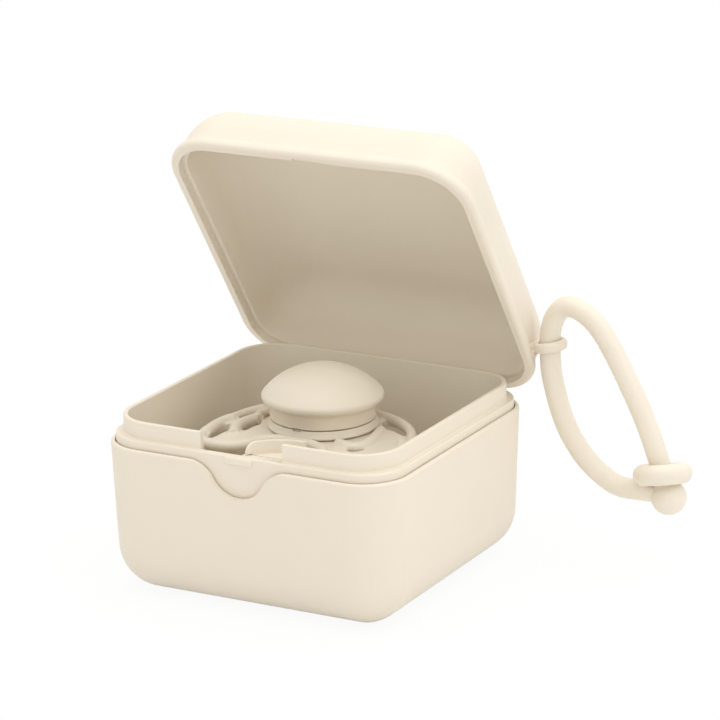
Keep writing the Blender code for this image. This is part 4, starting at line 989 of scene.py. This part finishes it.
LINK_STRAND = [(-0.0197, -0.0010), (-0.0198, 0.0024), (-0.0189, 0.0050)]
INNER_STRAND = [(-0.0174, -0.0162), (-0.0195, -0.0122), (-0.0203, -0.0082), (-0.0199, -0.0048),
                (-0.0187, -0.0021), (-0.0177, -0.0023)]
RIGHT_STRAND = [(0.0106, -0.0114), (0.0139, -0.0130), (0.0166, -0.0126), (0.0177, -0.0093),
                (0.0172, -0.0037), (0.0156, 0.0024)]
FRONT_OPENING = [(-0.0229, -0.0201), (-0.0249, -0.0149), (-0.0253, -0.0107), (-0.0246, -0.0080),
                 (-0.0231, -0.0080), (-0.0207, -0.0125), (-0.0210, -0.0162), (-0.0212, -0.0204)]
BACK_OPENING = [(-0.0258, 0.0010), (-0.0259, 0.0044), (-0.0244, 0.0066), (-0.0231, 0.0080),
                (-0.0217, 0.0057), (-0.0219, 0.0028), (-0.0218, -0.0005), (-0.0231, -0.0030)]
INNER_OPENING = [(-0.0178, -0.0117), (-0.0193, -0.0084), (-0.0194, -0.0052), (-0.0187, -0.0022),
                 (-0.0174, -0.0017), (-0.0156, -0.0057), (-0.0159, -0.0086), (-0.0163, -0.0125)]
SIDE_OPENING = [(-0.0166, -0.0022), (-0.0195, 0.0024), (-0.0204, 0.0055), (-0.0196, 0.0062),
                (-0.0169, 0.0013)]
RIGHT_SLIT = [(0.0119, 0.0101), (0.0142, 0.0113), (0.0179, 0.0099), (0.0217, 0.0065),
              (0.0232, 0.0032), (0.0222, 0.0023), (0.0185, 0.0037), (0.0151, 0.0051)]
RING_SLIT = [(0.0125, -0.0122), (0.0161, -0.0140), (0.0178, -0.0106), (0.0178, -0.0050),
             (0.0165, 0.0010), (0.0177, 0.0007), (0.0192, -0.0057), (0.0191, -0.0120),
             (0.0172, -0.0159), (0.0131, -0.0138)]


def mirrored(points):
    """The same points on the pacifier's other side, in the same turning sense."""
    return [(-x, y) for x, y in reversed(points)]


STRANDS = [(OUTER_STRAND, OUTER_STRAND_RADIUS), (INNER_STRAND, INNER_STRAND_RADIUS),
           (LINK_STRAND, LINK_STRAND_RADIUS), (RIGHT_STRAND, INNER_STRAND_RADIUS),
           (mirrored(OUTER_STRAND), OUTER_STRAND_RADIUS)]
OPENINGS = [FRONT_OPENING, BACK_OPENING, INNER_OPENING, SIDE_OPENING, RIGHT_SLIT, RING_SLIT]
SHIELD_Z = CUP_TOP_Z + GAP
SHIELD_TOP_Z = SHIELD_Z + SHIELD_THICKNESS
SET_BACK = Matrix.Translation((0.0, PACIFIER_BEHIND_CENTRE, 0.0))


def shield_points(shares):
    return [Vector((x * SHIELD_HALF_WIDTH, y * SHIELD_HALF_DEPTH - SHIELD_FRONT_SHIFT, 0.0))
            for x, y in shares]


def shield_outline(per_span):
    """The left half, and its mirror image with the notch's own right flank."""
    left = shield_points(SHIELD_OUTLINE_SHARES)
    flank = len(NOTCH_RIGHT_SHARES) + 1
    right_half = [Vector((-point.x, point.y, 0.0)) for point in reversed(left[flank:-1])]
    right_half += shield_points(NOTCH_RIGHT_SHARES)
    return smooth_through(left + right_half, closed=True, per_span=per_span)


def drawn_in(outline, distance):
    """A clockwise outline moved inward along its own normals."""
    moved = []
    for i, point in enumerate(outline):
        along = (outline[(i + 1) % len(outline)] - outline[i - 1]).normalized()
        moved.append(point + Vector((along.y, -along.x, 0.0)) * distance)
    return moved


def as_mesh(obj):
    """Turn a curve object into a mesh object of the same name."""
    mesh, name = evaluated_mesh(obj), obj.name
    bpy.data.objects.remove(obj, do_unlink=True)
    return new_object(name, mesh)


outline = shield_outline(8)
plate_outline = drawn_in(outline, SHIELD_BORDER_RADIUS)
plate = extruded_outline("shield_body", [(p.x, p.y, SHIELD_Z) for p in plate_outline],
                         (0.0, 0.0, SHIELD_THICKNESS))
for opening in OPENINGS:
    edge = smooth_through([Vector((x, y, SHIELD_Z - OVERRUN)) for x, y in opening], True, 6)
    cut(plate, extruded_outline("opening", edge, (0.0, 0.0, SHIELD_THICKNESS + 3 * OVERRUN)))
strand_z = SHIELD_TOP_Z - STRAND_SUNK
border = as_mesh(tube_curve("shield_border", [p + Vector((0, 0, strand_z)) for p in plate_outline],
                            SHIELD_BORDER_RADIUS, closed=True, resolution=5))
join(plate, border)
for strand, strand_radius in STRANDS:
    line = smooth_through([Vector((x, y, strand_z)) for x, y in strand], False, 6)
    join(plate, as_mesh(tube_curve("strand", line, strand_radius, resolution=4)))
cut(plate, bar("shield_bore", SHIELD_HOLE_RADIUS, SHIELD_THICKNESS + 2 * OVERRUN, 64,
               (0.0, 0.0, SHIELD_Z + SHIELD_THICKNESS / 2)))
cut(plate, bar("base_ring_seat", BASE_RING_FOOT_RADIUS + GAP, 2 * OVERRUN, 96,
               (0.0, 0.0, SHIELD_TOP_Z + OVERRUN)))
melted(plate, SHIELD_VOXEL, SHIELD_MELT_ROUNDS)
for vert in plate.data.vertices:
    beyond = max(abs(vert.co.x) - SHIELD_FLAT_RADIUS, 0.0) / (SHIELD_HALF_WIDTH - SHIELD_FLAT_RADIUS)
    vert.co.z -= SHIELD_WING_DROP * beyond ** 2
plate.data.transform(SET_BACK)
dress(plate, pacifier_plastic, "pacifier", ["pacifier_shield"])

# %% [markdown]
# ## The knob, its base ring and the nipple
# All three are turned shapes. The knob is a lens-shaped cap with a thick round brim over a straight
# neck. A fine dark seam, with a small notch in front, parts it from the base ring, whose foot
# flares out onto the shield. The nipple hangs below, out of sight until the pacifier is lifted out.

# %% Knob, base ring and nipple
BASE_RING_HEIGHT = 0.0022
BASE_RING_TOP_RADIUS = 0.0140
BASE_RING_FOOT_ROUNDING = 0.0005
BASE_RING_FLARE = [(0.00025, 0.00130), (0.00006, 0.00170)]
SEAM_CHAMFER = 0.0002
SPIGOT_RADIUS = 0.0090
SPIGOT_HEIGHT = 0.0060
KNOB_NECK_RADIUS = 0.0139
KNOB_NECK_HEIGHT = 0.0040
KNOB_NECK_FLARE = [(0.0, 0.0005), (0.00012, 0.00018), (0.00035, 0.00002)]
KNOB_BRIM_RADIUS = 0.0160
KNOB_BRIM_THICKNESS = 0.0032
KNOB_DOME_HEIGHT = 0.00715
DOME_FROM_DEG = 41.0
SEAM_NOTCH_WIDTH = 0.0026
SEAM_NOTCH_HEIGHT = 0.0008
SEAM_NOTCH_DEPTH = 0.0009
NIPPLE_FLANGE_RADIUS = 0.0105
NIPPLE_FLANGE_HEIGHT = 0.0012
NIPPLE_NECK_RADIUS = 0.0062
NIPPLE_BULB_RADIUS = 0.0104
NIPPLE_LENGTH = 0.0250
TURNED_STEPS = 96
BASE_RING_Z = SHIELD_TOP_Z + GAP
BASE_RING_TOP_Z = BASE_RING_Z + BASE_RING_HEIGHT
KNOB_Z = BASE_RING_TOP_Z + GAP
KNOB_BRIM_Z = KNOB_Z + KNOB_NECK_HEIGHT

recess_radius = NIPPLE_FLANGE_RADIUS + GAP
recess_top = BASE_RING_Z + NIPPLE_FLANGE_HEIGHT + GAP
ring_profile = [(0.0, recess_top), (recess_radius, recess_top), (recess_radius, BASE_RING_Z)]
ring_profile += arc(BASE_RING_FOOT_RADIUS - BASE_RING_FOOT_ROUNDING, BASE_RING_Z + BASE_RING_FOOT_ROUNDING,
                    BASE_RING_FOOT_ROUNDING, -90.0, 60.0, 6)
ring_profile += [(BASE_RING_TOP_RADIUS + beyond, BASE_RING_Z + rise) for beyond, rise in BASE_RING_FLARE]
ring_profile += [(BASE_RING_TOP_RADIUS, BASE_RING_TOP_Z - SEAM_CHAMFER),
                 (BASE_RING_TOP_RADIUS - SEAM_CHAMFER, BASE_RING_TOP_Z)]
ring_profile += [(SPIGOT_RADIUS, BASE_RING_TOP_Z), (SPIGOT_RADIUS, BASE_RING_TOP_Z + SPIGOT_HEIGHT),
                 (0.0, BASE_RING_TOP_Z + SPIGOT_HEIGHT)]


def finish_turned(name, profile, steps, notched=True):
    """Turn a piece of the pacifier, notch its seam in front and set it back to its place."""
    piece = object_from_bmesh(name, spin_profile(profile, steps))
    if notched:
        seam_z = (BASE_RING_TOP_Z + KNOB_Z) / 2
        cut(piece, block("seam_notch",
                         (-SEAM_NOTCH_WIDTH / 2, -KNOB_BRIM_RADIUS, seam_z - SEAM_NOTCH_HEIGHT / 2),
                         (SEAM_NOTCH_WIDTH / 2, SEAM_NOTCH_DEPTH - KNOB_NECK_RADIUS,
                          seam_z + SEAM_NOTCH_HEIGHT / 2)))
    piece.data.transform(SET_BACK)
    return piece


base_ring = finish_turned("pacifier_collar", ring_profile, TURNED_STEPS)
dress(base_ring, pacifier_plastic, "pacifier", ["pacifier_base_ring"])

half_brim = KNOB_BRIM_THICKNESS / 2
socket_top = BASE_RING_TOP_Z + SPIGOT_HEIGHT + GAP
knob_profile = [(0.0, socket_top), (SPIGOT_RADIUS + GAP, socket_top), (SPIGOT_RADIUS + GAP, KNOB_Z),
                (KNOB_NECK_RADIUS - SEAM_CHAMFER, KNOB_Z), (KNOB_NECK_RADIUS, KNOB_Z + SEAM_CHAMFER)]
knob_profile += [(KNOB_NECK_RADIUS + beyond, KNOB_BRIM_Z - below) for beyond, below in KNOB_NECK_FLARE]
knob_profile += arc(KNOB_BRIM_RADIUS - half_brim, KNOB_BRIM_Z + half_brim, half_brim, -84.0,
                    DOME_FROM_DEG, 18)
edge_radius, edge_z = knob_profile[-1]
dome_radius = (edge_radius ** 2 + KNOB_DOME_HEIGHT ** 2) / (2 * KNOB_DOME_HEIGHT)
dome_deg = math.degrees(math.asin(edge_radius / dome_radius))
knob_profile += arc(0.0, edge_z + KNOB_DOME_HEIGHT - dome_radius, dome_radius,
                    90.0 - dome_deg, 90.0, 28)[1:-1]
knob_profile.append((0.0, edge_z + KNOB_DOME_HEIGHT))
knob = finish_turned("pacifier_cap", knob_profile, TURNED_STEPS)
dress(knob, pacifier_plastic, "pacifier", ["pacifier_knob"])

NIPPLE_NECK_SHARES = [0.16, 0.42]
NIPPLE_BULB_SHARES = [(0.66, 0.52), (0.84, 0.61), (0.97, 0.71), (1.00, 0.79), (0.94, 0.88),
                      (0.74, 0.955), (0.42, 0.993)]
flange_top = BASE_RING_Z + NIPPLE_FLANGE_HEIGHT
inner_radius = SHIELD_HOLE_RADIUS - GAP
nipple_curve = [Vector((inner_radius, SHIELD_Z - GAP))]
nipple_curve += [Vector((NIPPLE_NECK_RADIUS, SHIELD_Z - share * NIPPLE_LENGTH))
                 for share in NIPPLE_NECK_SHARES]
nipple_curve += [Vector((radius * NIPPLE_BULB_RADIUS, SHIELD_Z - depth * NIPPLE_LENGTH))
                 for radius, depth in NIPPLE_BULB_SHARES]
nipple_curve.append(Vector((0.0, SHIELD_Z - NIPPLE_LENGTH)))
nipple_profile = [(0.0, flange_top), (NIPPLE_FLANGE_RADIUS, flange_top),
                  (NIPPLE_FLANGE_RADIUS, BASE_RING_Z), (inner_radius, BASE_RING_Z)]
nipple_profile += [(max(point.x, 0.0), point.y) for point in smooth_through(nipple_curve, False, 6)]
nipple = finish_turned("pacifier_teat", nipple_profile, 64, notched=False)
dress(nipple, nipple_silicone, "pacifier", ["pacifier_nipple"])

# %% [markdown]
# ## The hinge pin
# The pin's CAD shape is right as it is, a plain steel rod, so it only gets a better material.

# %% Hinge pin
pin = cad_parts["hinge_pin"]
pin.data.materials.clear()
pin.data.materials.append(pin_steel)

# %% [markdown]
# ## Floor, backdrop and light
# The photograph is a cut-out on white. The floor is pale and answers the camera mostly with plain
# white, while it still takes a soft shadow. Most of the light is even and comes from all round. A
# large soft lamp overhead, one behind and a faint one at the right give the forms their shading.

# %% Floor and backdrop
FLOOR_SIZE = 6.0
WHITE = (1.0, 1.0, 1.0, 1.0)
FLOOR_GREY = (0.90, 0.90, 0.90, 1.0)
FLOOR_SHARE_OF_WHITE = 0.92
AMBIENT_COLOUR = (1.0, 0.985, 0.96, 1.0)
AMBIENT_STRENGTH = 0.90


def answer_white(tree, shader, white_kind, output, amount):
    """Show an amount of white to rays that look at the background or mirror it, and not its light."""
    path = tree.nodes.new("ShaderNodeLightPath")
    looks = path.outputs["Is Camera Ray"]
    for kind in ("Is Glossy Ray", "Is Transmission Ray"):
        looks = math_node(tree, "MAXIMUM", looks, path.outputs[kind])
    white = tree.nodes.new(white_kind)
    set_inputs(white, Color=WHITE, Strength=1.0)
    mix = tree.nodes.new("ShaderNodeMixShader")
    tree.links.new(math_node(tree, "MULTIPLY", looks, amount), mix.inputs["Fac"])
    tree.links.new(shader.outputs[0], mix.inputs[1])
    tree.links.new(white.outputs[0], mix.inputs[2])
    tree.links.new(mix.outputs["Shader"], tree.nodes[output].inputs["Surface"])


floor_mesh = bmesh.new()
bmesh.ops.create_grid(floor_mesh, x_segments=1, y_segments=1, size=FLOOR_SIZE / 2)
floor = object_from_bmesh("floor", floor_mesh)
floor_white = bpy.data.materials.new("floor_white")
floor_white.use_nodes = True
floor_shader = floor_white.node_tree.nodes["Principled BSDF"]
set_inputs(floor_shader, Base_Color=FLOOR_GREY, Roughness=0.9, Specular_IOR_Level=0.1)
answer_white(floor_white.node_tree, floor_shader, "ShaderNodeEmission", "Material Output",
             FLOOR_SHARE_OF_WHITE)
floor.data.materials.append(floor_white)

world = bpy.data.worlds.new("studio")
bpy.context.scene.world = world
world.use_nodes = True
ambient = world.node_tree.nodes["Background"]
set_inputs(ambient, Color=AMBIENT_COLOUR, Strength=AMBIENT_STRENGTH)
answer_white(world.node_tree, ambient, "ShaderNodeBackground", "World Output", 1.0)
bpy.context.scene.view_settings.view_transform = "Standard"


# %% Lamps
LAMPS = [("overhead", 0.0, 88.0, 0.9, 1.0, 3.0), ("right_side", 85.0, 30.0, 0.9, 0.7, 0.8),
         ("behind", 160.0, 60.0, 1.0, 0.8, 1.3)]

for name, azimuth_deg, elevation_deg, distance, size, watts in LAMPS:
    lamp_data = bpy.data.lights.new(name, "AREA")
    lamp_data.shape = "SQUARE"
    lamp_data.size = size
    lamp_data.energy = watts
    aim(new_object(name, lamp_data), Vector((0.0, 0.0, SHELL_HEIGHT)), distance, azimuth_deg,
        elevation_deg)
